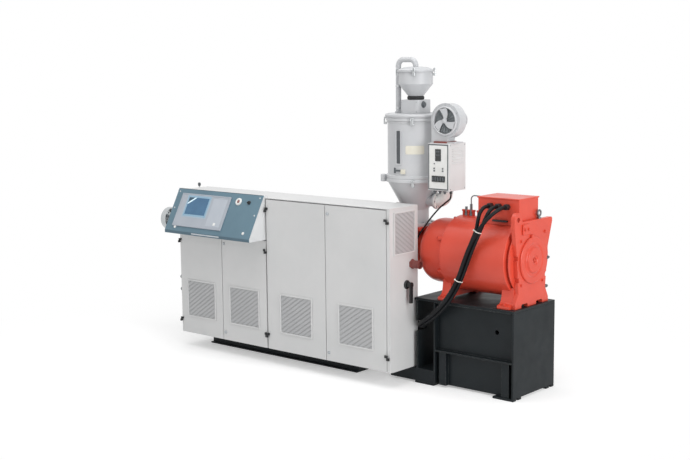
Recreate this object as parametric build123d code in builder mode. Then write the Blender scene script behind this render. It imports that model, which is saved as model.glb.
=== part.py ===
from build123d import *
import math
import os

os.makedirs("parts", exist_ok=True)

# A single-screw plastic extruder, millimetres, +Z up, the floor at z = 0.
# X runs along the screw, with the die end at low x and the drive at high x.
# Y runs from the operator's side, at low y, to the rear.

# Screw line: lengths are taken from the feed throat's axis
screw_height = 1000.0
barrel_length = 2905.0
drive_length = 1084.0
bore_diameter = 75.0

# Cabinet
cabinet_length = 2312.0
cabinet_depth = 342.0
cabinet_bottom = 122.0
cabinet_top = 1365.0
left_bay_width = 1039.0
cabinet_past_feed = 184.0
cabinet_to_screw = 223.0
sheet = 3.0
roof_thickness = 8.0
post_width = 30.0
post_depth = 20.0
plate_margin = 60.0
plate_foot = 30.0

# Doors and their hinges
door_thickness = 22.0
door_skin = 2.0
door_fold = 4.0
door_rear_gap = 6.0
door_gap = 6.0
hinge_gap = 14.0
door_edge_round = 3.0
hinge_stand = 12.0
hinge_inset = 2.0
knuckle_radius = 6.5
knuckle_height = 18.0
knuckle_gap = 1.0
hinge_pin_radius = 3.0
hinge_pin_clearance = 0.3
hinge_leaf_width = 16.0
hinge_leaf_thickness = 3.0
hinge_leaf_reach = 14.0
hinge_top_margin = 84.0
hinge_bottom_margin = 111.0
hinge_arm = 5.0
lock_radius = 11.0
lock_height = 7.0
lock_inset = 26.0
lock_end_margin = 66.0

# Fixed strip at the cabinet's drive end, which carries the last door's hinges
strip_width = 28.0
strip_hinge_reach = 11.0
strip_hinge_margin = 6.0

# Vent grilles
grille_width = 352.0
grille_height = 328.0
grille_bottom = 272.0
grille_frame = 14.0
grille_proud = 8.0
slat_proud = 6.0
slat_width = 11.0
slat_pitch = 24.0
slat_angle = 34.0
end_vent_width = 264.0
end_vent_height = 330.0
end_vent_bottom = 1005.0
end_vent_front_margin = 45.0

# Main switch on the cabinet's end
switch_from_front = 201.0
switch_height = 772.0
switch_base_radius = 34.0
switch_base_depth = 14.0
switch_shaft_radius = 8.0
switch_clearance = 0.3
switch_hub_radius = 21.0
switch_hub_depth = 32.0
switch_stand = 6.0
lever_length = 138.0
lever_width = 28.0
lever_thickness = 16.0

# Conduit nipple on the cabinet's end
conduit_from_front = 268.0
conduit_height = 921.0
conduit_radius = 30.0
conduit_length = 82.0
conduit_nut_radius = 38.0
conduit_nut_length = 16.0

# Water couplings on the cabinet's die end
coupling_heights = (602.0, 488.0)
coupling_from_front = 50.0
coupling_radius = 17.0
coupling_length = 46.0
coupling_nut_radius = 22.0
coupling_nut_length = 14.0

# Operator console
console_left_margin = 20.0
console_right_margin = 8.0
console_depth = 185.0
console_bottom = 1020.0
console_lip = 26.0
console_top = 1380.0
console_hook = 34.0
console_plate = 6.0
console_plate_margin = 3.0
display_width = 585.0
display_height = 298.0
display_from_left = 82.0
display_from_bottom = 38.0
display_thickness = 8.0
screen_width = 242.0
screen_height = 152.0
screen_from_left = 101.0
screen_from_bottom = 111.0
screen_thickness = 1.5
button_radius = 32.0
button_height = 12.0
button_bore = 15.0
knob_radius = 13.0
knob_height = 20.0
button_from_right = 250.0
knob_from_right = 132.0
controls_from_top = 75.0

# Bed under the cabinet and the barrel
bed_width = 694.0
bed_length = 1676.0
bed_left_margin = 125.0
bed_web = 30.0
bed_flange = 12.0
pedestal_width = 170.0
pedestal_thickness = 30.0

# Plinth under the drive
plinth_height = 664.0
plinth_depth = 564.0
plinth_plate = 15.0
plinth_top_thickness = 19.0
plinth_recess = 45.0
plinth_body_past_cabinet = 190.0
plinth_top_past_cabinet = 15.0
sill_under_cabinet = 222.0
sill_height = 100.0
foot_height = 17.0
foot_length = 178.0
foot_width = 110.0
foot_slot_width = 26.0
foot_slot_depth = 44.0
shelf_height = 272.0
shelf_thickness = 12.0
rib_width = 62.0
rib_end_margin = 62.0
eye_radius = 18.0
eye_height = 482.0
eye_from_end = 171.0

# Drive motor
drum_radius = 284.0
drum_length = 592.0
bell_radius = 247.0
bell_length = 248.0
bell_round = 26.0
bell_shoulder = 22.0
drum_past_cabinet = 2.0
drum_end_taper = 30.0
drum_end_radius = 262.0
shield_thickness = 32.0
shoulder_half_width = 270.0
shoulder_height = 290.0
shoulder_drop = 34.0
waist_half_width = 212.0
waist_rise = 80.0
heel_half_width = 182.0
heel_drop = 225.0
shield_foot_half_width = 224.0
shield_foot_rise = 34.0
shield_round = 16.0
ear_half_width = 50.0
ear_from_axis = 190.0
ear_height = 311.0
ear_eye_radius = 18.0
edge_slot_width = 14.0
edge_slot_height = 34.0
edge_slot_rises = (32.0, -128.0)
arch_width = 84.0
arch_height = 26.0
arch_from_axis = 100.0
cover_radius = 172.0
cover_depth = 14.0
cover_step_radius = 92.0
cover_step_depth = 12.0
cap_radius = 26.0
motor_foot_thickness = 30.0
motor_foot_half_span = 258.0
motor_foot_neck = 190.0
front_foot_length = 74.0
rear_foot_length = 104.0
fit_gap = 0.3

# Terminal box on the drum
box_length = 355.0
box_width = 256.0
box_top_height = 452.0
box_end_margin = 2.0
box_lid = 10.0
box_lid_overhang = 6.0
gland_radius = 23.0
gland_length = 40.0
gland_drop = 62.0
gland_spacing = 72.0
gland_first = 115.0

# Feed section, barrel and heaters
feed_section_radius = 150.0
feed_section_past_throat = 210.0
throat_flange_side = 300.0
throat_flange_thickness = 24.0
throat_flange_height = 176.0
barrel_radius = 70.0
heater_radius = 118.0
heater_length = 350.0
heater_gap = 60.0
flange_radius = 105.0
flange_thickness = 62.0
flange_pcd = 170.0
flange_bolt_count = 8
flange_bolt_radius = 8.5
screw_tip_length = 55.0
screw_tip_clearance = 1.0

# Hopper dryer
dryer_radius = 218.0
throat_radius = 100.0
throat_length = 124.0
cone_height = 216.0
dryer_drum_height = 469.0
dryer_ring_radius = 232.0
dryer_ring_height = 56.0
window_width = 36.0
window_height = 250.0
window_frame = 10.0
window_proud = 6.0
window_depth = 5.0
window_drop = 195.0
lug_radius = 24.0
lug_reach = 250.0
lug_angle = 220.0
lid_radius = 238.0
lid_height = 55.0
lid_step = 8.0
air_port_rise = 72.0
air_port_radius = 46.0
air_port_reach = 205.0
air_flange_radius = 62.0
air_flange_thickness = 12.0

# Heater box and blower beside the dryer
heater_box_length = 196.0
heater_box_width = 210.0
heater_box_drop = 38.0
heater_box_height = 354.0
heater_box_gap = 32.0
heater_box_front = 200.0
panel_thickness = 4.0
panel_margin = 7.0
bracket_height = 60.0
bracket_depth = 90.0
blower_radius = 128.0
blower_width = 92.0
blower_rise = 166.0
blower_outlet = 150.0
blower_flange_thickness = 9.0
blower_flange_side = 178.0
blower_flange_depth = 118.0
blower_from_box_end = 59.0
blower_from_box_front = 30.0
inlet_ring_radius = 108.0
inlet_ring_depth = 12.0
intake_count = 3
intake_hub_radius = 16.0
intake_radius = 90.0
intake_depth = 40.0
intake_bow = 12.0
intake_lead = 40.0
intake_span = 56.0
fan_motor_radius = 66.0
fan_motor_length = 104.0
elbow_radius = 46.0
elbow_bend = 92.0

# Vacuum loader on the dryer's lid
loader_base_side = 176.0
loader_base_height = 104.0
loader_gasket_radius = 66.0
loader_gasket_height = 28.0
loader_gasket_round = 7.0
loader_radius = 132.0
loader_cone_height = 92.0
loader_drum_height = 92.0
loader_lid_radius = 142.0
loader_lid_height = 16.0
loader_dome_height = 24.0
loader_rim_width = 46.0
loader_crown_drop = 6.0
pipe_radius = 21.0
pipe_bend = 50.0
pipe_offset = 168.0
pipe_rise = 4.0
pipe_collar_radius = 28.0
pipe_collar_height = 12.0

# Clamps
clamp_width = 26.0
clamp_height = 60.0
clamp_depth = 14.0
clamp_count = 4
clamp_first_angle = 30.0
ring_clamp_angle = -59.0

# Cables
motor_cable_diameter = 28.0
arc_share = 0.45
dryer_cable_diameter = 12.0
dryer_gland_radius = 11.0
dryer_gland_length = 22.0
wall_gland_length = 30.0

# Places worked out from the sizes
console_reach = cabinet_to_screw + cabinet_depth + console_depth
bed_reach = bed_width / 2
feed_x = (barrel_length - drive_length) / 2
screw_y = (console_reach - bed_reach) / 2
screw_z = screw_height
end_x = feed_x + cabinet_past_feed
left_x = end_x - cabinet_length
rear_y = screw_y - cabinet_to_screw
front_y = rear_y - cabinet_depth
door_rear_y = front_y + door_thickness
body_y = door_rear_y + door_rear_gap
seam_x = left_x + left_bay_width
roof_z = cabinet_top - roof_thickness
floor_z = cabinet_bottom + sheet
plinth_end_x = feed_x + drive_length
console_door_gap = door_gap + hinge_inset


def write(piece, name):
    """Label a finished piece and write its file."""
    piece.part.label = name
    export_step(piece.part, f"parts/{name}.step")


def slab(low, high):
    """A plain plate between two opposite corners."""
    size = [b - a for a, b in zip(low, high)]
    centre = [(a + b) / 2 for a, b in zip(low, high)]
    with BuildPart() as plate:
        with Locations(Vector(*centre)):
            Box(*size)
    return plate


def front_plane(y):
    """A plane that faces the operator, with X to the right and Z up."""
    return Plane.XZ.offset(-y)


def end_plane(x):
    """A plane that faces the drive end, with Y to the right and Z up."""
    return Plane.YZ.offset(x)


# Cabinet: plain slabs round two bays
write(slab((left_x, body_y, cabinet_bottom), (end_x, rear_y, floor_z)), "cabinet_floor")
write(slab((left_x, front_y, roof_z), (end_x, rear_y, cabinet_top)), "cabinet_roof")
write(slab((left_x + sheet, rear_y - sheet, floor_z), (end_x - sheet, rear_y, roof_z)), "cabinet_back")
write(
    slab((seam_x - sheet, body_y + post_depth, floor_z), (seam_x + sheet, rear_y - sheet, roof_z)),
    "cabinet_divider",
)

with BuildPart() as side_walls:
    wall_depth = rear_y - body_y
    wall_height = roof_z - floor_z
    wall_y = (body_y + rear_y) / 2
    wall_z = (floor_z + roof_z) / 2
    with Locations((left_x + sheet / 2, wall_y, wall_z), (end_x - sheet / 2, wall_y, wall_z)):
        Box(sheet, wall_depth, wall_height)
    with Locations((end_x - strip_width / 2, (front_y + body_y) / 2, wall_z)):
        Box(strip_width, body_y - front_y, wall_height)
write(side_walls, "cabinet_side_walls")

with BuildPart() as posts:
    post_y = body_y + post_depth / 2
    for post_x in (left_x + sheet + post_width / 2, seam_x, end_x - sheet - post_width / 2):
        with Locations((post_x, post_y, wall_z)):
            Box(post_width, post_depth, wall_height)
write(posts, "cabinet_posts")

# The fixed front over the short doors, behind the console
panel_left_x = left_x
panel_right_x = seam_x - hinge_gap / 2
write(slab((panel_left_x, front_y, console_bottom), (panel_right_x, body_y, roof_z)), "cabinet_front_panel")

with BuildPart() as mounting_plates:
    plate_rear_y = rear_y - sheet - post_depth
    plate_z = (floor_z + roof_z) / 2
    plate_height = wall_height - 2 * plate_margin
    for bay_left, bay_right in ((left_x, seam_x), (seam_x, end_x)):
        plate_width = bay_right - bay_left - 2 * plate_margin
        plate_x = (bay_left + bay_right) / 2
        with Locations((plate_x, plate_rear_y - sheet / 2, plate_z)):
            Box(plate_width, sheet, plate_height)
        for foot_x in (plate_x - plate_width / 2 + plate_foot, plate_x + plate_width / 2 - plate_foot):
            for foot_z in (plate_z - plate_height / 2 + plate_foot, plate_z + plate_height / 2 - plate_foot):
                with Locations((foot_x, plate_rear_y + post_depth / 2, foot_z)):
                    Box(plate_foot, post_depth, plate_foot)
write(mounting_plates, "mounting_plates")

# Doors: folded sheet pans with a pressed grille, hinged at one edge
door_bottom = cabinet_bottom + door_gap
short_door_top = console_bottom - console_door_gap
tall_door_top = roof_z - door_gap
short_seam_x = (left_x + seam_x) / 2
tall_seam_x = (seam_x + end_x) / 2
door_edges = {
    1: (left_x + door_gap, short_seam_x - door_gap / 2, short_door_top, "left", "wall"),
    2: (short_seam_x + door_gap / 2, seam_x - hinge_gap / 2, short_door_top, "right", "seam"),
    3: (seam_x + hinge_gap / 2, tall_seam_x - door_gap / 2, tall_door_top, "left", "seam"),
    4: (tall_seam_x + door_gap / 2, end_x - strip_width - door_gap, tall_door_top, "right", "strip"),
}
pivot_insets = {"wall": hinge_inset, "seam": hinge_inset, "strip": -strip_hinge_reach}


def grille_sketch(plane, width, height, angle):
    """Diagonal slats cut off at the grille's frame."""
    inner_width = width - 2 * grille_frame
    inner_height = height - 2 * grille_frame
    reach = width + height
    count = int(reach / slat_pitch)
    with BuildSketch(plane) as slats:
        with GridLocations(1, slat_pitch / math.cos(math.radians(angle)), 1, count):
            Rectangle(reach, slat_width, rotation=angle)
        Rectangle(inner_width + grille_frame, inner_height + grille_frame, mode=Mode.INTERSECT)
    return slats


def hinge_heights(top):
    """Where a door's two hinges stand."""
    return door_bottom + hinge_bottom_margin, top - hinge_top_margin


def hinge_pivot(edge_x, side, seat):
    """A hinge's axis, in front of the door's edge or of the strip beside it."""
    inward = 1 if side == "left" else -1
    return edge_x + inward * pivot_insets[seat], front_y - hinge_stand


for number, (door_left, door_right, door_top, side, seat) in door_edges.items():
    door_width = door_right - door_left
    door_height = door_top - door_bottom
    door_x = (door_left + door_right) / 2
    door_z = (door_bottom + door_top) / 2
    grille_z = grille_bottom + grille_height / 2
    with BuildPart() as door:
        with BuildSketch(front_plane(door_rear_y)):
            with Locations((door_x, door_z)):
                Rectangle(door_width, door_height)
        extrude(amount=door_thickness)
        fillet(door.edges().group_by(Axis.Y)[0], door_edge_round)
        with BuildSketch(front_plane(door_rear_y)):
            with Locations((door_x, door_z)):
                Rectangle(door_width - 2 * door_fold, door_height - 2 * door_fold)
        extrude(amount=door_thickness - door_skin, mode=Mode.SUBTRACT)
        with BuildSketch(front_plane(front_y)):
            with Locations((door_x, grille_z)):
                Rectangle(grille_width, grille_height)
                Rectangle(
                    grille_width - 2 * grille_frame, grille_height - 2 * grille_frame, mode=Mode.SUBTRACT
                )
        extrude(amount=grille_proud)
        grille_plane = front_plane(front_y).shift_origin((door_x, front_y, grille_z))
        slats = grille_sketch(grille_plane, grille_width, grille_height, slat_angle)
        extrude(slats.sketch, amount=slat_proud)
    write(door, f"door_{number}")

    hinge_edge = door_left if side == "left" else door_right
    free_edge = door_right if side == "left" else door_left
    inward = 1 if side == "left" else -1
    pivot_x, pivot_y = hinge_pivot(hinge_edge, side, seat)
    with BuildPart() as fittings:
        for height in hinge_heights(door_top):
            base = height + knuckle_gap
            leaf_x = hinge_edge + inward * (max(pivot_insets[seat], 0) + hinge_leaf_width / 2)
            with Locations((leaf_x, (pivot_y + front_y) / 2, base + knuckle_height / 2)):
                Box(hinge_leaf_width, hinge_stand, knuckle_height)
            with Locations(((pivot_x + leaf_x) / 2, pivot_y, base + knuckle_height / 2)):
                Box(abs(leaf_x - pivot_x), 2 * hinge_arm, knuckle_height)
            with Locations((pivot_x, pivot_y, base + knuckle_height / 2)):
                Cylinder(knuckle_radius, knuckle_height)
                Cylinder(hinge_pin_radius + hinge_pin_clearance, knuckle_height, mode=Mode.SUBTRACT)
        if side == "right":
            for lock_z in (door_bottom + lock_end_margin, door_top - lock_end_margin):
                with BuildSketch(front_plane(front_y)):
                    with Locations((free_edge + lock_inset, lock_z)):
                        Circle(lock_radius)
                extrude(amount=lock_height)
    write(fittings, f"door_{number}_fittings")

# Hinge halves on the cabinet, with the pins that carry the doors
with BuildPart() as cabinet_hinges:
    strip_seat_x = end_x - strip_hinge_margin - hinge_leaf_width / 2
    arms = {
        "wall": (left_x - hinge_leaf_thickness / 2, hinge_leaf_thickness, body_y + hinge_leaf_reach),
        "seam": (seam_x, hinge_leaf_thickness, body_y),
        "strip": (strip_seat_x, hinge_leaf_width, front_y),
    }
    for door_left, door_right, door_top, side, seat in door_edges.values():
        hinge_edge = door_left if side == "left" else door_right
        pivot_x, pivot_y = hinge_pivot(hinge_edge, side, seat)
        arm_x, arm_width, arm_rear = arms[seat]
        for height in hinge_heights(door_top):
            middle = height - knuckle_height / 2
            arm_front = pivot_y - knuckle_radius
            with Locations((arm_x, (arm_front + arm_rear) / 2, middle)):
                Box(arm_width, arm_rear - arm_front, knuckle_height)
            with Locations(((pivot_x + arm_x) / 2, pivot_y, middle)):
                Box(abs(arm_x - pivot_x), 2 * knuckle_radius, knuckle_height)
            with Locations((pivot_x, pivot_y, middle)):
                Cylinder(knuckle_radius, knuckle_height)
            with Locations((pivot_x, pivot_y, height + knuckle_height / 2)):
                Cylinder(hinge_pin_radius, knuckle_height)
write(cabinet_hinges, "cabinet_hinges")

# Vent on the cabinet's end
vent_y = front_y + end_vent_front_margin + end_vent_width / 2
vent_z = end_vent_bottom + end_vent_height / 2
with BuildPart() as end_vent:
    with BuildSketch(end_plane(end_x)):
        with Locations((vent_y, vent_z)):
            Rectangle(end_vent_width, end_vent_height)
    extrude(amount=door_skin)
    with BuildSketch(end_plane(end_x + door_skin)):
        with Locations((vent_y, vent_z)):
            Rectangle(end_vent_width, end_vent_height)
            Rectangle(
                end_vent_width - 2 * grille_frame, end_vent_height - 2 * grille_frame, mode=Mode.SUBTRACT
            )
    extrude(amount=slat_proud)
    vent_plane = end_plane(end_x + door_skin).shift_origin((end_x + door_skin, vent_y, vent_z))
    vent_slats = grille_sketch(vent_plane, end_vent_width, end_vent_height, -slat_angle)
    extrude(vent_slats.sketch, amount=slat_proud - door_skin)
write(end_vent, "end_vent_grille")

# Main switch: a round base with its shaft, and a lever that hangs from it
switch_y = front_y + switch_from_front
switch_tip_x = end_x + switch_base_depth + switch_stand + switch_hub_depth
with BuildPart() as switch_base:
    with BuildSketch(end_plane(end_x)):
        with Locations((switch_y, switch_height)):
            Circle(switch_base_radius)
    extrude(amount=switch_base_depth)
    chamfer(switch_base.edges().group_by(Axis.X)[-1], door_edge_round)
    with BuildSketch(end_plane(end_x)):
        with Locations((switch_y, switch_height)):
            Circle(switch_shaft_radius)
    extrude(amount=switch_tip_x - end_x)
write(switch_base, "switch_base")

hub_x = end_x + switch_base_depth + switch_stand
with BuildPart() as switch_handle:
    with BuildSketch(end_plane(hub_x)):
        with Locations((switch_y, switch_height)):
            Circle(switch_hub_radius)
    extrude(amount=switch_hub_depth)
    with BuildSketch(end_plane(switch_tip_x - lever_thickness)):
        with Locations((switch_y, switch_height - lever_length / 2)):
            Rectangle(lever_width, lever_length)
    extrude(amount=lever_thickness)
    fillet(switch_handle.edges().filter_by(Axis.X).group_by(Axis.Z)[0], door_edge_round)
    with BuildSketch(end_plane(hub_x)):
        with Locations((switch_y, switch_height)):
            Circle(switch_shaft_radius + switch_clearance)
    extrude(amount=switch_hub_depth, mode=Mode.SUBTRACT)
write(switch_handle, "switch_handle")

# Conduit nipple with its lock nut
with BuildPart() as conduit:
    with BuildSketch(end_plane(end_x)):
        with Locations((front_y + conduit_from_front, conduit_height)):
            RegularPolygon(conduit_nut_radius, 6)
    extrude(amount=conduit_nut_length)
    with BuildSketch(end_plane(end_x)):
        with Locations((front_y + conduit_from_front, conduit_height)):
            Circle(conduit_radius)
    extrude(amount=conduit_length)
write(conduit, "conduit_nipple")

# Water couplings: a hexagon body and a round plug
coupling_y = front_y + coupling_from_front
with BuildPart() as couplings:
    with BuildSketch(end_plane(left_x)):
        with Locations(*[(coupling_y, height) for height in coupling_heights]):
            RegularPolygon(coupling_nut_radius, 6)
    extrude(amount=-coupling_nut_length)
    with BuildSketch(end_plane(left_x)):
        with Locations(*[(coupling_y, height) for height in coupling_heights]):
            Circle(coupling_radius)
    extrude(amount=-coupling_length)
write(couplings, "water_couplings")

# Console: a wedge with a sloping face, hooked over the roof's front edge
console_left_x = left_x + console_left_margin
console_width = seam_x - console_right_margin - console_left_x
console_nose = (front_y - console_depth + console_plate, console_bottom + console_lip)
console_brow = (front_y, console_top)
with BuildPart() as console_housing:
    with BuildSketch(end_plane(console_left_x)):
        with BuildLine():
            Polyline(
                (front_y, console_bottom),
                (console_nose[0], console_bottom),
                console_nose,
                console_brow,
                (front_y + console_hook, console_top),
                (front_y + console_hook, cabinet_top),
                (front_y, cabinet_top),
                close=True,
            )
        make_face()
    extrude(amount=console_width)
write(console_housing, "console_housing")

face_length = math.dist(console_nose, console_brow)
face_up = Vector(0, console_brow[0] - console_nose[0], console_brow[1] - console_nose[1]).normalized()
face_normal = Vector(1, 0, 0).cross(face_up)
console_face = Plane(
    origin=(console_left_x, console_nose[0], console_nose[1]), x_dir=(1, 0, 0), z_dir=face_normal
)
fold_rise = console_plate * (1 + face_normal.Y) / -face_up.Y


def lifted(point, rise):
    """A point of the console's face moved up the slope and out by the panel's thickness."""
    out_y = face_normal.Y * console_plate + face_up.Y * rise
    out_z = face_normal.Z * console_plate + face_up.Z * rise
    return point[0] + out_y, point[1] + out_z


# The panel is one sheet, folded down over the console's nose
with BuildPart() as console_panel:
    with BuildSketch(end_plane(console_left_x + console_plate_margin)):
        with BuildLine():
            Polyline(
                (console_nose[0], console_bottom),
                (console_nose[0] - console_plate, console_bottom),
                lifted(console_nose, fold_rise),
                lifted(console_brow, 0),
                console_brow,
                console_nose,
                close=True,
            )
        make_face()
    extrude(amount=console_width - 2 * console_plate_margin)
write(console_panel, "console_panel")

display_centre = (display_from_left + display_width / 2, display_from_bottom + display_height / 2)
with BuildPart() as console_display:
    with BuildSketch(console_face.offset(console_plate)):
        with Locations(display_centre):
            RectangleRounded(display_width, display_height, console_plate)
    extrude(amount=display_thickness)
write(console_display, "console_display")

with BuildPart() as console_screen:
    with BuildSketch(console_face.offset(console_plate + display_thickness)):
        with Locations(
            (
                display_from_left + screen_from_left + screen_width / 2,
                display_from_bottom + screen_from_bottom + screen_height / 2,
            )
        ):
            Rectangle(screen_width, screen_height)
    extrude(amount=screen_thickness)
write(console_screen, "console_screen")

with BuildPart() as console_controls:
    controls_up = face_length - controls_from_top
    with BuildSketch(console_face.offset(console_plate)):
        with Locations((console_width - button_from_right, controls_up)):
            Circle(button_radius)
            Circle(button_bore, mode=Mode.SUBTRACT)
    extrude(amount=button_height)
    with BuildSketch(console_face.offset(console_plate)):
        with Locations((console_width - button_from_right, controls_up)):
            Circle(button_bore)
    extrude(amount=button_height / 2)
    with BuildSketch(console_face.offset(console_plate)):
        with Locations((console_width - knob_from_right, controls_up)):
            Circle(knob_radius)
    extrude(amount=knob_height)
write(console_controls, "console_controls")

# Bed: a low channel under the cabinet and the barrel, with the barrel's pedestals
bed_left_x = left_x + bed_left_margin
bed_right_x = bed_left_x + bed_length
bed_front_y = screw_y - bed_width / 2
bed_rear_y = screw_y + bed_width / 2
with BuildPart() as bed:
    with BuildSketch(end_plane(bed_left_x)):
        with Locations((screw_y, cabinet_bottom / 2)):
            Rectangle(bed_width, cabinet_bottom)
        with Locations(
            (bed_front_y + bed_web / 2, cabinet_bottom / 2), (bed_rear_y - bed_web / 2, cabinet_bottom / 2)
        ):
            Rectangle(bed_web, cabinet_bottom - 2 * bed_flange, mode=Mode.SUBTRACT)
    extrude(amount=bed_length)
write(bed, "bed")

# Plinth: a welded box with a recessed web, end plates and an overhanging top plate
plinth_front_y = screw_y - plinth_depth / 2
plinth_rear_y = screw_y + plinth_depth / 2
plinth_left_x = end_x + plinth_body_past_cabinet
top_left_x = end_x + plinth_top_past_cabinet
top_under_z = plinth_height - plinth_top_thickness
write(
    slab((top_left_x, plinth_front_y, top_under_z), (plinth_end_x, plinth_rear_y, plinth_height)),
    "plinth_top_plate",
)

with BuildPart() as end_plates:
    end_height = top_under_z - foot_height
    for plate_x in (plinth_left_x + plinth_plate / 2, plinth_end_x - plinth_plate / 2):
        with Locations((plate_x, screw_y, foot_height + end_height / 2)):
            Box(plinth_plate, plinth_depth, end_height)
write(end_plates, "plinth_end_plates")

with BuildPart() as core:
    core_left = plinth_left_x + plinth_plate
    core_right = plinth_end_x - plinth_plate
    core_length = core_right - core_left
    core_x = (core_left + core_right) / 2
    core_depth = plinth_depth - 2 * plinth_recess
    with Locations((core_x, screw_y, (foot_height + top_under_z) / 2)):
        Box(core_length, core_depth, top_under_z - foot_height)
    with Locations((core_x, screw_y, shelf_height + shelf_thickness / 2)):
        Box(core_length, plinth_depth, shelf_thickness)
    rib_height = shelf_height - foot_height
    for rib_x in (core_left + rib_end_margin, core_right - rib_end_margin):
        with Locations((rib_x, screw_y, foot_height + rib_height / 2)):
            Box(rib_width, plinth_depth - plinth_recess / 2, rib_height)
    with Locations((plinth_end_x - eye_from_end, screw_y, eye_height)):
        Cylinder(eye_radius, plinth_depth, rotation=(90, 0, 0), mode=Mode.SUBTRACT)
write(core, "plinth_core")

sill_left_x = end_x - sill_under_cabinet
write(
    slab((sill_left_x, plinth_front_y, foot_height), (plinth_left_x, plinth_rear_y, foot_height + sill_height)),
    "plinth_sill",
)

with BuildPart() as feet:
    for foot_x in (top_left_x + foot_length / 2, plinth_end_x - foot_length / 2):
        for foot_y in (plinth_front_y + foot_width / 2, plinth_rear_y - foot_width / 2):
            with Locations((foot_x, foot_y, foot_height / 2)):
                Box(foot_length, foot_width, foot_height)
            outside = 1 if foot_x > plinth_left_x else -1
            slot_x = foot_x + outside * (foot_length - foot_slot_depth) / 2
            with Locations((slot_x, foot_y, foot_height / 2)):
                Box(foot_slot_depth, foot_slot_width, foot_height, mode=Mode.SUBTRACT)
write(feet, "plinth_feet")

# Drive motor: a turned body, an end shield with square shoulders, and a bearing cover
drum_left_x = end_x + drum_past_cabinet
drum_step_x = drum_left_x + bell_length
drum_right_x = drum_step_x + drum_length
screw_axis = Axis((0, screw_y, screw_z), (1, 0, 0))
side_plane = Plane(origin=(0, screw_y, screw_z), x_dir=(1, 0, 0), z_dir=(0, -1, 0))
with BuildPart() as motor_body:
    with BuildSketch(side_plane):
        with BuildLine():
            Polyline(
                (drum_left_x, 0),
                (drum_left_x, bell_radius - bell_round),
                (drum_left_x + bell_round, bell_radius),
                (drum_step_x - bell_shoulder, bell_radius),
                (drum_step_x, drum_radius),
                (drum_right_x - drum_end_taper, drum_radius),
                (drum_right_x, drum_end_radius),
                (drum_right_x, 0),
                close=True,
            )
        make_face()
    revolve(axis=screw_axis)
write(motor_body, "motor_body")

shield_right_x = drum_right_x + shield_thickness
shield_foot = plinth_height - screw_z
with BuildPart() as end_shield:
    with BuildSketch(end_plane(drum_right_x).shift_origin((drum_right_x, screw_y, screw_z))):
        with BuildLine():
            Polyline(
                (shoulder_half_width, shoulder_height),
                (shoulder_half_width, shoulder_height - shoulder_drop),
                (waist_half_width, waist_rise),
                (heel_half_width, -heel_drop),
                (shield_foot_half_width, shield_foot + shield_foot_rise),
                (shield_foot_half_width, shield_foot),
                (-shield_foot_half_width, shield_foot),
                (-shield_foot_half_width, shield_foot + shield_foot_rise),
                (-heel_half_width, -heel_drop),
                (-waist_half_width, waist_rise),
                (-ear_from_axis - ear_half_width, shoulder_height - shoulder_drop),
                (-ear_from_axis - ear_half_width, shoulder_height),
                close=True,
            )
        shield_face = make_face()
        outer_corners = shield_face.vertices().group_by(Axis.Y)[-1]
        fillet(outer_corners.sort_by(Axis.X)[-1], shield_round)
        with Locations((-ear_from_axis, ear_height)):
            Circle(ear_half_width)
        with Locations((-ear_from_axis, ear_height - shoulder_drop)):
            Rectangle(2 * ear_half_width, 2 * shoulder_drop)
        with Locations((-ear_from_axis, ear_height)):
            Circle(ear_eye_radius, mode=Mode.SUBTRACT)
        flank = (waist_half_width - heel_half_width) / (waist_rise + heel_drop)
        for slot_rise in edge_slot_rises:
            slot_y = waist_half_width - flank * (waist_rise - slot_rise)
            with Locations((-slot_y, slot_rise), (slot_y, slot_rise)):
                Rectangle(2 * edge_slot_width, edge_slot_height, mode=Mode.SUBTRACT)
        with Locations((-arch_from_axis, shield_foot), (arch_from_axis, shield_foot)):
            RectangleRounded(arch_width, 2 * arch_height, arch_height / 2, mode=Mode.SUBTRACT)
    extrude(amount=shield_thickness)
write(end_shield, "motor_end_shield")

with BuildPart() as bearing_cover:
    with BuildSketch(end_plane(shield_right_x)):
        with Locations((screw_y, screw_z)):
            Circle(cover_radius)
    extrude(amount=cover_depth)
    with BuildSketch(end_plane(shield_right_x + cover_depth)):
        with Locations((screw_y, screw_z)):
            Circle(cover_step_radius)
            Circle(cap_radius, mode=Mode.SUBTRACT)
    extrude(amount=cover_step_depth)
write(bearing_cover, "motor_bearing_cover")

with BuildPart() as motor_feet:
    for foot_left, foot_length_x in (
        (drum_step_x - front_foot_length / 2, front_foot_length),
        (drum_right_x - rear_foot_length, rear_foot_length),
    ):
        with BuildSketch(end_plane(foot_left)):
            with BuildLine():
                Polyline(
                    (screw_y - motor_foot_half_span, plinth_height),
                    (screw_y + motor_foot_half_span, plinth_height),
                    (screw_y + motor_foot_half_span, plinth_height + motor_foot_thickness),
                    (screw_y + motor_foot_neck, screw_z - motor_foot_neck),
                    (screw_y - motor_foot_neck, screw_z - motor_foot_neck),
                    (screw_y - motor_foot_half_span, plinth_height + motor_foot_thickness),
                    close=True,
                )
            make_face()
            with Locations((screw_y, screw_z)):
                Circle(drum_radius + fit_gap, mode=Mode.SUBTRACT)
        extrude(amount=foot_length_x)
write(motor_feet, "motor_feet")

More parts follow.
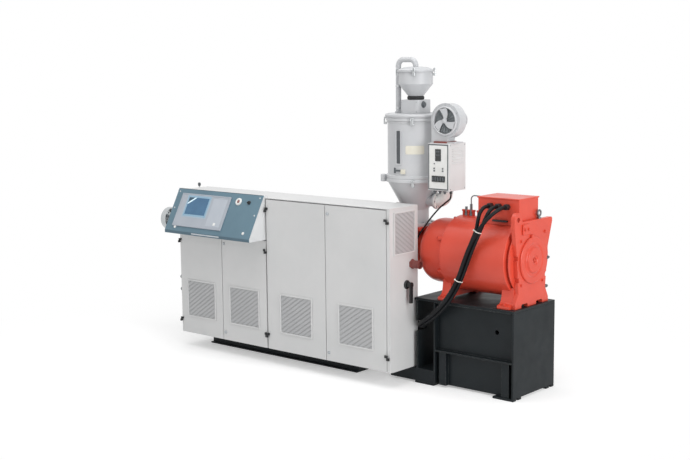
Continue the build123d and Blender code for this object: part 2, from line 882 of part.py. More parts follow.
# Terminal box on the drum
box_right_x = drum_right_x - box_end_margin
box_left_x = box_right_x - box_length
box_front_y = screw_y - box_width / 2
box_top_z = screw_z + box_top_height
box_x = (box_left_x + box_right_x) / 2
with BuildPart() as terminal_box:
    with BuildSketch(Plane.XY.offset(screw_z)):
        with Locations((box_x, screw_y)):
            Rectangle(box_length, box_width)
    extrude(amount=box_top_height - box_lid)
    with BuildSketch(Plane.XY.offset(box_top_z - box_lid)):
        with Locations((box_x, screw_y)):
            Rectangle(box_length + 2 * box_lid_overhang, box_width + 2 * box_lid_overhang)
    extrude(amount=box_lid)
    with BuildSketch(end_plane(box_left_x - box_lid_overhang)):
        with Locations((screw_y, screw_z)):
            Circle(drum_radius + fit_gap)
    extrude(amount=box_length + 2 * box_lid_overhang, mode=Mode.SUBTRACT)
write(terminal_box, "terminal_box")

# Feed section: a turned neck with a square flange for the hopper
throat_flange_z = screw_z + throat_flange_height
with BuildPart() as feed_section:
    with BuildSketch(end_plane(feed_x - feed_section_past_throat)):
        with Locations((screw_y, screw_z)):
            Circle(feed_section_radius)
    extrude(amount=drum_left_x - feed_x + feed_section_past_throat)
    with BuildSketch(Plane.XY.offset(screw_z)):
        with Locations((feed_x, screw_y)):
            Circle(throat_radius)
    extrude(amount=throat_flange_height)
    with BuildSketch(Plane.XY.offset(throat_flange_z - throat_flange_thickness)):
        with Locations((feed_x, screw_y)):
            RectangleRounded(throat_flange_side, throat_flange_side, throat_flange_thickness)
    extrude(amount=throat_flange_thickness)
write(feed_section, "feed_section")

# Barrel, with the screw's tip at its open end
head_x = feed_x - barrel_length
barrel_left_x = head_x + flange_thickness
barrel_right_x = feed_x - feed_section_past_throat
with BuildPart() as barrel:
    with BuildSketch(end_plane(barrel_left_x)):
        with Locations((screw_y, screw_z)):
            Circle(barrel_radius)
    extrude(amount=barrel_right_x - barrel_left_x)
    with BuildSketch(side_plane):
        with BuildLine():
            Polyline(
                (barrel_left_x, 0),
                (barrel_left_x - screw_tip_length, 0),
                (barrel_left_x, bore_diameter / 2 - screw_tip_clearance),
                close=True,
            )
        make_face()
    revolve(axis=screw_axis)
write(barrel, "barrel")

with BuildPart() as barrel_flange:
    with BuildSketch(end_plane(head_x)):
        with Locations((screw_y, screw_z)):
            Circle(flange_radius)
            Circle(bore_diameter / 2, mode=Mode.SUBTRACT)
            with PolarLocations(flange_pcd / 2, flange_bolt_count):
                Circle(flange_bolt_radius, mode=Mode.SUBTRACT)
    extrude(amount=flange_thickness)
write(barrel_flange, "barrel_flange")

heater_pitch = heater_length + heater_gap
heater_first_x = barrel_right_x - heater_gap - heater_length
heater_count = int((barrel_right_x - barrel_left_x - heater_gap) / heater_pitch)
with BuildPart() as heaters:
    for zone in range(heater_count):
        with BuildSketch(end_plane(heater_first_x - zone * heater_pitch)):
            with Locations((screw_y, screw_z)):
                Circle(heater_radius)
                Circle(barrel_radius + fit_gap, mode=Mode.SUBTRACT)
        extrude(amount=heater_length)
write(heaters, "barrel_heaters")

# Pedestals that carry the barrel on the bed, between the heaters
first_pedestal_x = heater_first_x - heater_gap / 2
last_zone = int((first_pedestal_x - pedestal_thickness / 2 - bed_left_x) / heater_pitch)
with BuildPart() as pedestals:
    for zone in (0, min(last_zone, heater_count - 1)):
        pedestal_x = first_pedestal_x - zone * heater_pitch
        with BuildSketch(end_plane(pedestal_x - pedestal_thickness / 2)):
            with Locations((screw_y, (cabinet_bottom + screw_z) / 2)):
                Rectangle(pedestal_width, screw_z - cabinet_bottom)
            with Locations((screw_y, screw_z)):
                Circle(barrel_radius + fit_gap, mode=Mode.SUBTRACT)
        extrude(amount=pedestal_thickness)
write(pedestals, "barrel_pedestals")

# Hopper dryer: throat, cone, drum and lid, turned about the feed axis
throat_top = throat_flange_z + throat_length
dryer_cone_top = throat_top + cone_height
dryer_drum_top = dryer_cone_top + dryer_drum_height
air_port_height = throat_top + air_port_rise
heater_box_bottom = dryer_cone_top - heater_box_drop
heater_box_top = heater_box_bottom + heater_box_height
blower_height = heater_box_top + blower_rise
feed_axis = Axis((feed_x, screw_y, 0), (0, 0, 1))
hopper_plane = Plane(origin=(feed_x, screw_y, 0), x_dir=(1, 0, 0), z_dir=(0, -1, 0))
with BuildPart() as dryer_cone:
    with BuildSketch(hopper_plane):
        with BuildLine():
            Polyline(
                (0, throat_flange_z),
                (throat_flange_side / 2, throat_flange_z),
                (throat_flange_side / 2, throat_flange_z + throat_flange_thickness),
                (throat_radius, throat_flange_z + throat_flange_thickness),
                (throat_radius, throat_top),
                (dryer_radius, dryer_cone_top),
                (0, dryer_cone_top),
                close=True,
            )
        make_face()
    revolve(axis=feed_axis)
    with BuildSketch(end_plane(feed_x)):
        with Locations((screw_y, air_port_height)):
            Circle(air_port_radius)
    extrude(amount=air_port_reach)
    with BuildSketch(end_plane(feed_x + air_port_reach - air_flange_thickness)):
        with Locations((screw_y, air_port_height)):
            Circle(air_flange_radius)
    extrude(amount=air_flange_thickness)
write(dryer_cone, "dryer_cone")

with BuildPart() as dryer_drum:
    with BuildSketch(hopper_plane):
        with BuildLine():
            Polyline(
                (0, dryer_cone_top),
                (dryer_ring_radius, dryer_cone_top),
                (dryer_ring_radius, dryer_cone_top + dryer_ring_height),
                (dryer_radius, dryer_cone_top + dryer_ring_height),
                (dryer_radius, dryer_drum_top),
                (0, dryer_drum_top),
                close=True,
            )
        make_face()
    revolve(axis=feed_axis)
    window_z = dryer_drum_top - window_drop
    window_face = front_plane(screw_y - dryer_radius - window_proud)
    with BuildSketch(window_face):
        with Locations((feed_x, window_z)):
            RectangleRounded(window_width + 2 * window_frame, window_height + 2 * window_frame, window_frame)
    extrude(amount=-dryer_radius / 2)
    with BuildSketch(window_face):
        with Locations((feed_x, window_z)):
            RectangleRounded(window_width, window_height, window_frame)
    extrude(amount=-window_proud - window_depth, mode=Mode.SUBTRACT)
    lug_x = feed_x + lug_reach * math.cos(math.radians(lug_angle))
    lug_y = screw_y + lug_reach * math.sin(math.radians(lug_angle))
    with BuildSketch(Plane.XY.offset(dryer_cone_top)):
        with Locations((lug_x, lug_y)):
            Circle(lug_radius)
    extrude(amount=dryer_ring_height)
write(dryer_drum, "dryer_drum")

lid_z = dryer_drum_top + lid_height
with BuildPart() as dryer_lid:
    with BuildSketch(hopper_plane):
        with BuildLine():
            Polyline(
                (0, dryer_drum_top),
                (lid_radius - lid_step, dryer_drum_top),
                (lid_radius - lid_step, dryer_drum_top + lid_height / 2),
                (lid_radius, dryer_drum_top + lid_height / 2),
                (lid_radius, lid_z),
                (0, lid_z),
                close=True,
            )
        make_face()
    revolve(axis=feed_axis)
write(dryer_lid, "dryer_lid")

# Heater box on a bracket beside the drum, with the blower on its top
heater_left_x = feed_x + dryer_ring_radius + heater_box_gap
heater_right_x = heater_left_x + heater_box_length
heater_front_y = screw_y - heater_box_front
heater_rear_y = heater_front_y + heater_box_width
bracket_z = (heater_box_bottom + heater_box_top) / 2
with BuildPart() as heater_box:
    with Locations(
        (
            (heater_left_x + heater_right_x) / 2,
            (heater_front_y + heater_rear_y) / 2,
            (heater_box_bottom + heater_box_top) / 2,
        )
    ):
        Box(heater_box_length, heater_box_width, heater_box_top - heater_box_bottom)
    with BuildSketch(front_plane(heater_front_y)):
        with Locations(((heater_left_x + heater_right_x) / 2, bracket_z)):
            Rectangle(
                heater_box_length - 2 * panel_margin, heater_box_top - heater_box_bottom - 2 * panel_margin
            )
    extrude(amount=panel_thickness)
    bracket_left_x = feed_x + dryer_radius / 2
    with Locations(
        ((bracket_left_x + heater_left_x) / 2, screw_y - bracket_depth / 2, heater_box_top - bracket_height)
    ):
        Box(heater_left_x - bracket_left_x, bracket_depth, bracket_height)
    with BuildSketch(Plane.XY.offset(heater_box_bottom)):
        with Locations((feed_x, screw_y)):
            Circle(dryer_radius + fit_gap)
    extrude(amount=heater_box_top - heater_box_bottom, mode=Mode.SUBTRACT)
write(heater_box, "heater_box")

blower_x = heater_right_x - blower_from_box_end
blower_front_y = heater_front_y + blower_from_box_front
blower_foot_z = heater_box_top + blower_flange_thickness


def polar(radius, angle):
    """A point at a radius and an angle in degrees."""
    return radius * math.cos(math.radians(angle)), radius * math.sin(math.radians(angle))


intake_middle = (intake_hub_radius + intake_radius) / 2
intake_turn = intake_lead + intake_span / 2
leading_tip = polar(intake_radius, intake_lead)
trailing_tip = polar(intake_radius, intake_lead + intake_span)
with BuildSketch() as intake:
    with BuildLine():
        ThreePointArc(polar(intake_hub_radius, 0), polar(intake_middle, intake_bow), leading_tip)
        ThreePointArc(leading_tip, polar(intake_radius, intake_turn), trailing_tip)
        ThreePointArc(trailing_tip, polar(intake_middle, intake_turn), polar(intake_hub_radius, 0))
    make_face()

with BuildPart() as blower:
    with BuildSketch(Plane.XY.offset(heater_box_top)):
        with Locations((blower_x, blower_front_y + blower_width / 2)):
            Rectangle(blower_flange_side, blower_flange_depth)
    extrude(amount=blower_flange_thickness)
    with BuildSketch(front_plane(blower_front_y + blower_width)):
        with Locations((blower_x, blower_height)):
            Circle(blower_radius)
        with Locations((blower_x - blower_radius + blower_outlet / 2, (blower_height + blower_foot_z) / 2)):
            Rectangle(blower_outlet, blower_height - blower_foot_z)
    extrude(amount=blower_width)
    with BuildSketch(front_plane(blower_front_y)):
        with Locations((blower_x, blower_height)):
            Circle(inlet_ring_radius)
    extrude(amount=inlet_ring_depth)
    with BuildSketch(front_plane(blower_front_y - inlet_ring_depth)):
        with Locations((blower_x, blower_height)):
            with PolarLocations(0, intake_count):
                add(intake.sketch)
    extrude(amount=-inlet_ring_depth - intake_depth, mode=Mode.SUBTRACT)
    with BuildSketch(front_plane(blower_front_y + blower_width + fan_motor_length)):
        with Locations((blower_x, blower_height)):
            Circle(fan_motor_radius)
    extrude(amount=fan_motor_length)
write(blower, "blower")

# Elbow that leads the warm air from the heater box into the cone
elbow_left_x = feed_x + air_port_reach
elbow_drop_x = elbow_left_x + elbow_bend
with BuildPart() as elbow:
    with BuildLine() as elbow_path:
        FilletPolyline(
            (elbow_left_x, screw_y, air_port_height),
            (elbow_drop_x, screw_y, air_port_height),
            (elbow_drop_x, screw_y, heater_box_bottom),
            radius=elbow_bend - air_flange_thickness,
        )
    with BuildSketch(end_plane(elbow_left_x)):
        with Locations((screw_y, air_port_height)):
            Circle(elbow_radius)
    sweep(path=elbow_path.wires()[0])
    with BuildSketch(end_plane(elbow_left_x)):
        with Locations((screw_y, air_port_height)):
            Circle(air_flange_radius)
    extrude(amount=air_flange_thickness)
write(elbow, "air_elbow")

# Vacuum loader: base, rubber ring, funnel and lid on the feed axis
loader_base_z = lid_z + loader_base_height
with BuildPart() as loader_base:
    with BuildSketch(Plane.XY.offset(lid_z)):
        with Locations((feed_x, screw_y)):
            RectangleRounded(loader_base_side, loader_base_side, loader_gasket_height)
    extrude(amount=loader_base_height)
write(loader_base, "loader_base")

gasket_z = loader_base_z + loader_gasket_height
with BuildPart() as loader_gasket:
    with BuildSketch(Plane.XY.offset(loader_base_z)):
        with Locations((feed_x, screw_y)):
            Circle(loader_gasket_radius)
    extrude(amount=loader_gasket_height)
    chamfer(loader_gasket.edges(), loader_gasket_round)
write(loader_gasket, "loader_gasket")

funnel_z = gasket_z + loader_cone_height
loader_top_z = funnel_z + loader_drum_height
with BuildPart() as loader_hopper:
    with BuildSketch(hopper_plane):
        with BuildLine():
            Polyline(
                (0, gasket_z),
                (loader_gasket_radius - loader_gasket_round, gasket_z),
                (loader_radius, funnel_z),
                (loader_radius, loader_top_z),
                (0, loader_top_z),
                close=True,
            )
        make_face()
    revolve(axis=feed_axis)
write(loader_hopper, "loader_hopper")

loader_lid_z = loader_top_z + loader_lid_height
loader_crown_z = loader_lid_z + loader_dome_height
with BuildPart() as loader_lid:
    with BuildSketch(hopper_plane):
        with BuildLine():
            Polyline(
                (0, loader_top_z),
                (loader_lid_radius, loader_top_z),
                (loader_lid_radius, loader_lid_z),
                (loader_lid_radius - loader_rim_width, loader_crown_z - loader_crown_drop),
                (loader_rim_width, loader_crown_z),
                (0, loader_crown_z),
                close=True,
            )
        make_face()
    revolve(axis=feed_axis)
write(loader_lid, "loader_lid")

# Suction pipe from the loader's lid down into the dryer's lid
pipe_left_x = feed_x - pipe_offset
pipe_top_z = loader_crown_z + pipe_rise + pipe_bend
with BuildPart() as suction_pipe:
    with BuildLine() as pipe_path:
        FilletPolyline(
            (feed_x, screw_y, loader_crown_z),
            (feed_x, screw_y, pipe_top_z),
            (pipe_left_x, screw_y, pipe_top_z),
            (pipe_left_x, screw_y, lid_z),
            radius=pipe_bend,
        )
    with BuildSketch(Plane.XY.offset(loader_crown_z)):
        with Locations((feed_x, screw_y)):
            Circle(pipe_radius)
    sweep(path=pipe_path.wires()[0])
    with BuildSketch(Plane.XY.offset(lid_z)):
        with Locations((pipe_left_x, screw_y)):
            Circle(pipe_collar_radius)
    extrude(amount=pipe_collar_height)
write(suction_pipe, "suction_pipe")

# Toggle clamps round the two lids
with BuildPart() as lid_clamps:
    for rim_radius, rim_z in ((lid_radius, dryer_drum_top), (loader_lid_radius, loader_top_z)):
        with Locations((feed_x, screw_y, rim_z)):
            with PolarLocations(rim_radius + clamp_depth / 2 + fit_gap, clamp_count, clamp_first_angle):
                Box(clamp_depth, clamp_width, clamp_height)
    with Locations((feed_x, screw_y, dryer_cone_top)):
        with PolarLocations(dryer_ring_radius + clamp_depth / 2 + fit_gap, 1, ring_clamp_angle):
            Box(clamp_depth, clamp_width, clamp_height)
write(lid_clamps, "lid_clamps")


def cord(points, diameter, name):
    """A plain tube along straight runs and the largest arcs that they take."""
    route = [Vector(*point) for point in points]
    runs = [(b - a).length for a, b in zip(route, route[1:])]
    radii = []
    for before, corner, after, run_in, run_out in zip(route, route[1:], route[2:], runs, runs[1:]):
        turn = (corner - before).get_angle(after - corner)
        radii.append(arc_share * min(run_in, run_out) / math.tan(math.radians(turn / 2)))
    with BuildPart() as tube:
        with BuildLine() as path:
            FilletPolyline(*route, radius=radii)
        with BuildSketch(Plane(origin=route[0], z_dir=route[1] - route[0])):
            Circle(diameter / 2)
        sweep(path=path.wires()[0])
    area = math.pi * diameter**2 / 4
    print(name, "radii", [round(radius) for radius in radii], "tightest", round(min(radii)))
    print(name, "volume over section times length", round(tube.part.volume / area / path.wires()[0].length, 4))
    write(tube, name)


# Cable routes: each point is taken from the cabinet's end, the door fronts and the floor
motor_cable_routes = {
    "motor_cable_1": [
        (600, 357, 1390), (599, 320, 1376), (596, 290, 1344), (590, 279, 1292), (581, 276, 1229),
        (554, 250, 1139), (512, 236, 1027), (451, 232, 862), (361, 228, 710), (247, 228, 594),
        (157, 251, 528), (74, 305, 482), (6, 401, 447), (-82, 490, 424), (-180, 528, 414),
        (-280, 520, 412), (-346, 468, 412), (-368, 412, 412), (-368, 372, 412),
    ],
    "motor_cable_2": [
        (672, 357, 1390), (670, 319, 1375), (662, 290, 1342), (644, 277, 1290), (611, 277, 1219),
        (584, 250, 1129), (542, 236, 1017), (477, 232, 846), (385, 228, 688), (269, 228, 570),
        (173, 246, 502), (86, 301, 454), (14, 399, 417), (-78, 490, 392), (-180, 528, 382),
        (-280, 520, 372), (-346, 468, 364), (-368, 412, 362), (-368, 372, 362),
    ],
    "motor_cable_3": [
        (744, 355, 1390), (736, 312, 1376), (712, 276, 1348), (676, 252, 1304), (640, 243, 1256),
        (604, 236, 1200), (569, 221, 1136), (527, 208, 1024), (464, 204, 854), (373, 200, 699),
        (258, 200, 582), (151, 225, 512), (62, 282, 463), (-10, 381, 428), (-96, 466, 406),
        (-165, 488, 399), (-235, 476, 398), (-280, 440, 397), (-296, 404, 397), (-296, 372, 397),
    ],
}
dryer_cable_route = [
    (266, 400, heater_box_bottom - dryer_gland_length), (266, 400, 1438), (256, 404, 1416), (206, 416, 1386), (144, 420, 1340),
    (78, 402, 1262), (36, 374, 1190), (-4, 362, 1130), (-34, 388, 1102), (-66, 410, 1088),
    (-111, 412, 1077), (-130, 392, 1070), (-130, 364, 1070),
]


def placed(points):
    """A route's points in the machine's frame."""
    return [(end_x + x, front_y + y, z) for x, y, z in points]


gland_z = box_top_z - gland_drop
gland_tip_y = box_front_y - gland_length
gland_places = [box_left_x + gland_first + step * gland_spacing for step in range(len(motor_cable_routes))]
wall_gland_places = []
for (name, points), gland_x in zip(motor_cable_routes.items(), gland_places):
    route = [(gland_x, gland_tip_y, gland_z)] + placed(points)
    wall_gland_places.append((route[-1][0], route[-1][2]))
    cord(route, motor_cable_diameter, name)

dryer_route = placed(dryer_cable_route)
cord(dryer_route, dryer_cable_diameter, "dryer_cable")

# Glands where the cables leave the terminal box and the heater box and enter the cabinet's back
with BuildPart() as cable_glands:
    with BuildSketch(front_plane(box_front_y)):
        with Locations(*[(gland_x, gland_z) for gland_x in gland_places]):
            RegularPolygon(gland_radius, 6)
    extrude(amount=gland_length)
    with BuildSketch(front_plane(rear_y)):
        with Locations(*wall_gland_places):
            RegularPolygon(gland_radius, 6)
    extrude(amount=-wall_gland_length)
    with BuildSketch(front_plane(rear_y)):
        with Locations((dryer_route[-1][0], dryer_route[-1][2])):
            RegularPolygon(dryer_gland_radius, 6)
    extrude(amount=-dryer_gland_length)
    with BuildSketch(Plane.XY.offset(heater_box_bottom)):
        with Locations(dryer_route[0][:2]):
            RegularPolygon(dryer_gland_radius, 6)
    extrude(amount=-dryer_gland_length)
write(cable_glands, "cable_glands")
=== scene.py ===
"""Looks of a plastic extruder: finishes, fine detail, cables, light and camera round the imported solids."""

import logging
from dataclasses import dataclass
from enum import Enum
from math import cos, pi, radians, sin, tan, tau
from typing import Any, Callable, ClassVar, Iterable, Sequence

import bmesh
import bpy
from mathutils import Matrix, Vector


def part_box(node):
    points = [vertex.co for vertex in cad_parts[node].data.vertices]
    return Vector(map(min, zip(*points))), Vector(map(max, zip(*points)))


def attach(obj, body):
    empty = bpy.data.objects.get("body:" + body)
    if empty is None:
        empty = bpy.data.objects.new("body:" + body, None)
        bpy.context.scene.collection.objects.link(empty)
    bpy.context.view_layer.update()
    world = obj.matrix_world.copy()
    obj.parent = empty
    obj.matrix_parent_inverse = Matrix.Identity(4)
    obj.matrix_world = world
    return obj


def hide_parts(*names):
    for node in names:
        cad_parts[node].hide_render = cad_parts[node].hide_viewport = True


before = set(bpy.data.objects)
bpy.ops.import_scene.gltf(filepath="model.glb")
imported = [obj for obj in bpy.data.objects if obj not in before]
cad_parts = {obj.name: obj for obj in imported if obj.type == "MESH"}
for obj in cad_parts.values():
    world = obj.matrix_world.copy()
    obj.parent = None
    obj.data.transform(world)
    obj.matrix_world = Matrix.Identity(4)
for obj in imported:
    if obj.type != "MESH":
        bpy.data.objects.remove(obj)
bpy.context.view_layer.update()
IMAGE_WIDTH = 690
SENSOR_WIDTH = 36.0
X, Y, Z = Vector((1, 0, 0)), Vector((0, 1, 0)), Vector((0, 0, 1))
COAT_ROUGHNESS = 0.12
# Reach and darkness of the painted shade that ambient occlusion lays in corners and between parts
SHADE_REACH = 0.06
SHADE_DARKNESS = 0.35
RUBBED_WIDTH = 0.004
FLECKS_PER_METRE = 90.0
MERGE = 4e-6
NODE_MERGE = 1e-5
Point = Sequence[float]
Tree = bpy.types.NodeTree
Socket = bpy.types.NodeSocket
log = logging.getLogger("extruder")


class Body(Enum):
    """The machine's rigid bodies."""

    MACHINE = "machine"
    DOOR_1 = "door_1"
    DOOR_2 = "door_2"
    DOOR_3 = "door_3"
    DOOR_4 = "door_4"
    SWITCH = "switch_handle"


class Side(Enum):
    """The edge that a door hangs on, as the way from that edge into the door."""

    LEFT = 1
    RIGHT = -1


# Finishes


def linear(code: str) -> tuple[float, float, float, float]:
    """Turn a web colour into the linear colour that shaders take.

    Args:
        code: sRGB colour such as "#c8c8c8".

    Returns:
        Red, green, blue and a full alpha.
    """
    parts = [int(code[i:i + 2], 16) / 255 for i in (1, 3, 5)]
    red, green, blue = (c / 12.92 if c <= 0.04045 else ((c + 0.055) / 1.055) ** 2.4 for c in parts)
    return red, green, blue, 1.0


def add_node(
    tree: Tree,
    kind: str,
    values: dict[str | int, Any] | None = None,
    links: dict[str | int, Socket] | None = None,
) -> bpy.types.Node:
    """Add one shader node.

    Args:
        tree: node tree that takes the node.
        kind: node type.
        values: settings, by attribute name or by input.
        links: sockets that feed the node's inputs.

    Returns:
        The new node.
    """
    node = tree.nodes.new(kind)
    for key, value in (values or {}).items():
        if isinstance(key, str) and key not in node.inputs:
            setattr(node, key, value)
        else:
            node.inputs[key].default_value = value
    for key, socket in (links or {}).items():
        tree.links.new(socket, node.inputs[key])
    return node


@dataclass(frozen=True)
class Finish:
    """A surface with broad tonal patches and a fine relief.

    Sizes are in metres: patch is one tonal patch across, grain is one bump of the relief.
    """

    name: str
    colour: str
    tone: str
    roughness: float
    patch: float = 0.30
    grain: float = 0.003
    relief: float = 0.06
    metallic: float = 0.0
    ior: float = 1.5
    coat: float = 0.0
    # Strength of the painted shade that darkens corners and gaps between parts
    corner_shade: float = 0.0
    wear: float = 0.0
    bare: str = "#a9aaa6"

    def make(self) -> bpy.types.Material:
        """Return the finish's material, built on first use."""
        found = bpy.data.materials.get(self.name)
        if found:
            return found
        material = bpy.data.materials.new(self.name)
        material.use_nodes = True
        tree = material.node_tree
        shader = tree.nodes["Principled BSDF"]
        shader.inputs["Metallic"].default_value = self.metallic
        shader.inputs["Coat Weight"].default_value = self.coat
        shader.inputs["Coat Roughness"].default_value = COAT_ROUGHNESS
        if not self.metallic:
            shader.inputs["IOR"].default_value = self.ior
        place = add_node(tree, "ShaderNodeTexCoord").outputs["Object"]
        self.dress(tree, shader, place)
        return material

    def colours(self, tree: Tree, place: Socket) -> Socket:
        """Mix the main colour and its tone in patches, then darken corners with painted shade and bare the
        edges.

        Args:
            tree: node tree of the material.
            place: socket with the place on the piece.

        Returns:
            Socket with the finished colour.
        """
        patches = add_node(
            tree, "ShaderNodeTexNoise", {"Scale": 1 / self.patch, "Detail": 5.0, "Roughness": 0.6},
            {"Vector": place},
        )
        amount = add_node(
            tree, "ShaderNodeMapRange", {"From Min": 0.35, "From Max": 0.7}, {"Value": patches.outputs["Fac"]}
        )
        mixed = add_node(
            tree, "ShaderNodeMix", {"data_type": "RGBA", 6: linear(self.colour), 7: linear(self.tone)},
            {0: amount.outputs["Result"]},
        ).outputs[2]
        if self.corner_shade:
            mixed = self.corners(tree, mixed, patches.outputs["Fac"])
        if self.wear:
            mixed = self.edges(tree, mixed, place)
        return mixed

    def corners(self, tree: Tree, colour: Socket, patches: Socket) -> Socket:
        """Darken the colour where two surfaces meet, as painted shade from ambient occlusion.

        Args:
            tree: node tree of the material.
            colour: socket with the clean colour.
            patches: socket with the tonal patches, which break up the painted shade.

        Returns:
            Socket with the colour darkened by painted shade.
        """
        # Painted shade: where ambient occlusion finds surfaces close by, the colour darkens towards a dark
        # copy of the tone
        shut = add_node(tree, "ShaderNodeAmbientOcclusion", {"samples": 6, "Distance": SHADE_REACH})
        painted_shade = add_node(
            tree, "ShaderNodeMapRange", {"From Min": 0.85, "From Max": 0.25, "To Max": self.corner_shade},
            {"Value": shut.outputs["AO"]},
        )
        broken = add_node(
            tree, "ShaderNodeMath", {"operation": "MULTIPLY"}, {0: painted_shade.outputs["Result"], 1: patches}
        )
        dark = [channel * SHADE_DARKNESS for channel in linear(self.tone)[:3]] + [1.0]
        return add_node(
            tree, "ShaderNodeMix", {"data_type": "RGBA", 7: dark}, {0: broken.outputs[0], 6: colour}
        ).outputs[2]

    def edges(self, tree: Tree, colour: Socket, place: Socket) -> Socket:
        """Rub the paint thin along the outer edges.

        Args:
            tree: node tree of the material.
            colour: socket with the whole paint.
            place: socket with the place on the piece.

        Returns:
            Socket with the worn colour.
        """
        rounded = add_node(tree, "ShaderNodeBevel", {"samples": 4, "Radius": RUBBED_WIDTH})
        flat = add_node(tree, "ShaderNodeNewGeometry")
        likeness = add_node(
            tree, "ShaderNodeVectorMath", {"operation": "DOT_PRODUCT"},
            {0: rounded.outputs["Normal"], 1: flat.outputs["Normal"]},
        )
        rubbed = add_node(
            tree, "ShaderNodeMapRange", {"From Min": 0.985, "From Max": 0.80, "To Max": self.wear},
            {"Value": likeness.outputs["Value"]},
        )
        flecks = add_node(
            tree, "ShaderNodeTexNoise", {"Scale": FLECKS_PER_METRE, "Detail": 4.0}, {"Vector": place}
        )
        spread = add_node(
            tree, "ShaderNodeMapRange", {"From Min": 0.38, "From Max": 0.6}, {"Value": flecks.outputs["Fac"]}
        )
        amount = add_node(
            tree, "ShaderNodeMath", {"operation": "MULTIPLY"},
            {0: rubbed.outputs["Result"], 1: spread.outputs["Result"]},
        )
        return add_node(
            tree, "ShaderNodeMix", {"data_type": "RGBA", 7: linear(self.bare)},
            {0: amount.outputs[0], 6: colour},
        ).outputs[2]

    def dress(self, tree: Tree, shader: bpy.types.Node, place: Socket) -> None:
        """Feed colour, roughness and relief to the shader.

        Args:
            tree: node tree of the material.
            shader: the material's shader.
            place: socket with the place on the piece.
        """
        tree.links.new(self.colours(tree, place), shader.inputs["Base Color"])
        smears = add_node(
            tree, "ShaderNodeTexNoise", {"Scale": 3 / self.patch, "Detail": 4.0}, {"Vector": place}
        )
        gloss = add_node(
            tree, "ShaderNodeMapRange",
            {
                "From Min": 0.3, "From Max": 0.7, "To Min": self.roughness - 0.05,
                "To Max": self.roughness + 0.07,
            },
            {"Value": smears.outputs["Fac"]},
        )
        tree.links.new(gloss.outputs["Result"], shader.inputs["Roughness"])
        bumps = add_node(
            tree, "ShaderNodeTexNoise", {"Scale": 1 / self.grain, "Detail": 2.0}, {"Vector": place}
        )
        relief = add_node(
            tree, "ShaderNodeBump", {"Strength": self.relief, "Distance": self.grain},
            {"Height": bumps.outputs["Fac"]},
        )
        tree.links.new(relief.outputs["Normal"], shader.inputs["Normal"])


@dataclass(frozen=True)
class DrawnMetal(Finish):
    """Bare metal with the fine lines of turning, rolling or brushing across one axis."""

    lines: tuple[float, float, float] = (1.0, 1.0, 1.0)

    def dress(self, tree: Tree, shader: bpy.types.Node, place: Socket) -> None:
        """Feed colour, drawn lines and roughness to the shader.

        Args:
            tree: node tree of the material.
            shader: the material's shader.
            place: socket with the place on the piece.
        """
        tree.links.new(self.colours(tree, place), shader.inputs["Base Color"])
        stretched = add_node(tree, "ShaderNodeMapping", {"Scale": self.lines}, {"Vector": place})
        strokes = add_node(
            tree, "ShaderNodeTexNoise", {"Scale": 1 / self.grain, "Detail": 3.0},
            {"Vector": stretched.outputs["Vector"]},
        )
        gloss = add_node(
            tree, "ShaderNodeMapRange",
            {
                "From Min": 0.3, "From Max": 0.7, "To Min": self.roughness - 0.08,
                "To Max": self.roughness + 0.1,
            },
            {"Value": strokes.outputs["Fac"]},
        )
        tree.links.new(gloss.outputs["Result"], shader.inputs["Roughness"])
        relief = add_node(
            tree, "ShaderNodeBump", {"Strength": self.relief, "Distance": self.grain},
            {"Height": strokes.outputs["Fac"]},
        )
        tree.links.new(relief.outputs["Normal"], shader.inputs["Normal"])


@dataclass(frozen=True)
class Lit(Finish):
    """A back-lit screen or lamp, which shines a little with its own colour; here also the screen's glow and
    reflection painted on it and round it.
    """

    glow: float = 0.4

    def dress(self, tree: Tree, shader: bpy.types.Node, place: Socket) -> None:
        """Feed the colour to both the surface and the glow.

        Args:
            tree: node tree of the material.
            shader: the material's shader.
            place: socket with the place on the piece.
        """
        colour = self.colours(tree, place)
        tree.links.new(colour, shader.inputs["Base Color"])
        tree.links.new(colour, shader.inputs["Emission Color"])
        shader.inputs["Emission Strength"].default_value = self.glow
        shader.inputs["Roughness"].default_value = self.roughness


# Orange peel, spark texture and drawn lines are coarser here than in life, where they are too fine to show

# Powder coat on sheet steel: an even satin skin with a fine orange peel
CABINET_COAT = Finish(
    "light_grey_powder_coat", "#d6d6d6", "#cfd0d0", 0.42, patch=0.5, grain=0.004, relief=0.05, corner_shade=0.15
)
CHEEK_COAT = Finish("white_powder_coat", "#d9dadb", "#d3d5d6", 0.42, patch=0.5, grain=0.004, relief=0.05)
TEAL_COAT = Finish(
    "teal_grey_powder_coat", "#62808f", "#5b7887", 0.40, patch=0.3, grain=0.004, relief=0.05, corner_shade=0.3
)
# Darker copy of the panel's teal, laid on the lip's front face as painted shade
LIP_SHADE_COAT = Finish("teal_coat_lip_shade", "#4f6a78", "#496372", 0.42, patch=0.3, grain=0.004, relief=0.05)
# Darker copy of the cabinet paint for the louvres: painted shade between the blades
LOUVRE_COAT = Finish(
    "shaded_grey_powder_coat", "#b8b9ba", "#b0b1b3", 0.45, patch=0.3, grain=0.004, relief=0.05
)
# Enamel brushed over castings: glossy, with soft waves and painted shade darkening the corners
RED_ENAMEL = Finish(
    "red_orange_enamel", "#da4e3a", "#d24836", 0.34, patch=0.25, grain=0.010, relief=0.05, ior=1.4, coat=0.1,
    corner_shade=0.35,
)
# Dark enamel on welded plate: satin, and rubbed pale along the edges
BLACK_ENAMEL = Finish(
    "black_enamel", "#191f22", "#14191c", 0.45, patch=0.3, grain=0.006, relief=0.05, ior=1.3, corner_shade=0.4,
    wear=0.35,
)
# Satin enamel on spun and rolled sheet: pale, a little uneven
DRYER_ENAMEL = Finish(
    "pale_grey_enamel", "#c9cacc", "#bfc1c4", 0.36, patch=0.25, grain=0.006, relief=0.04, corner_shade=0.4
)
WHITE_ENAMEL = Finish(
    "white_enamel", "#d9d9d9", "#d0d0d0", 0.36, patch=0.2, grain=0.006, relief=0.04, corner_shade=0.4
)
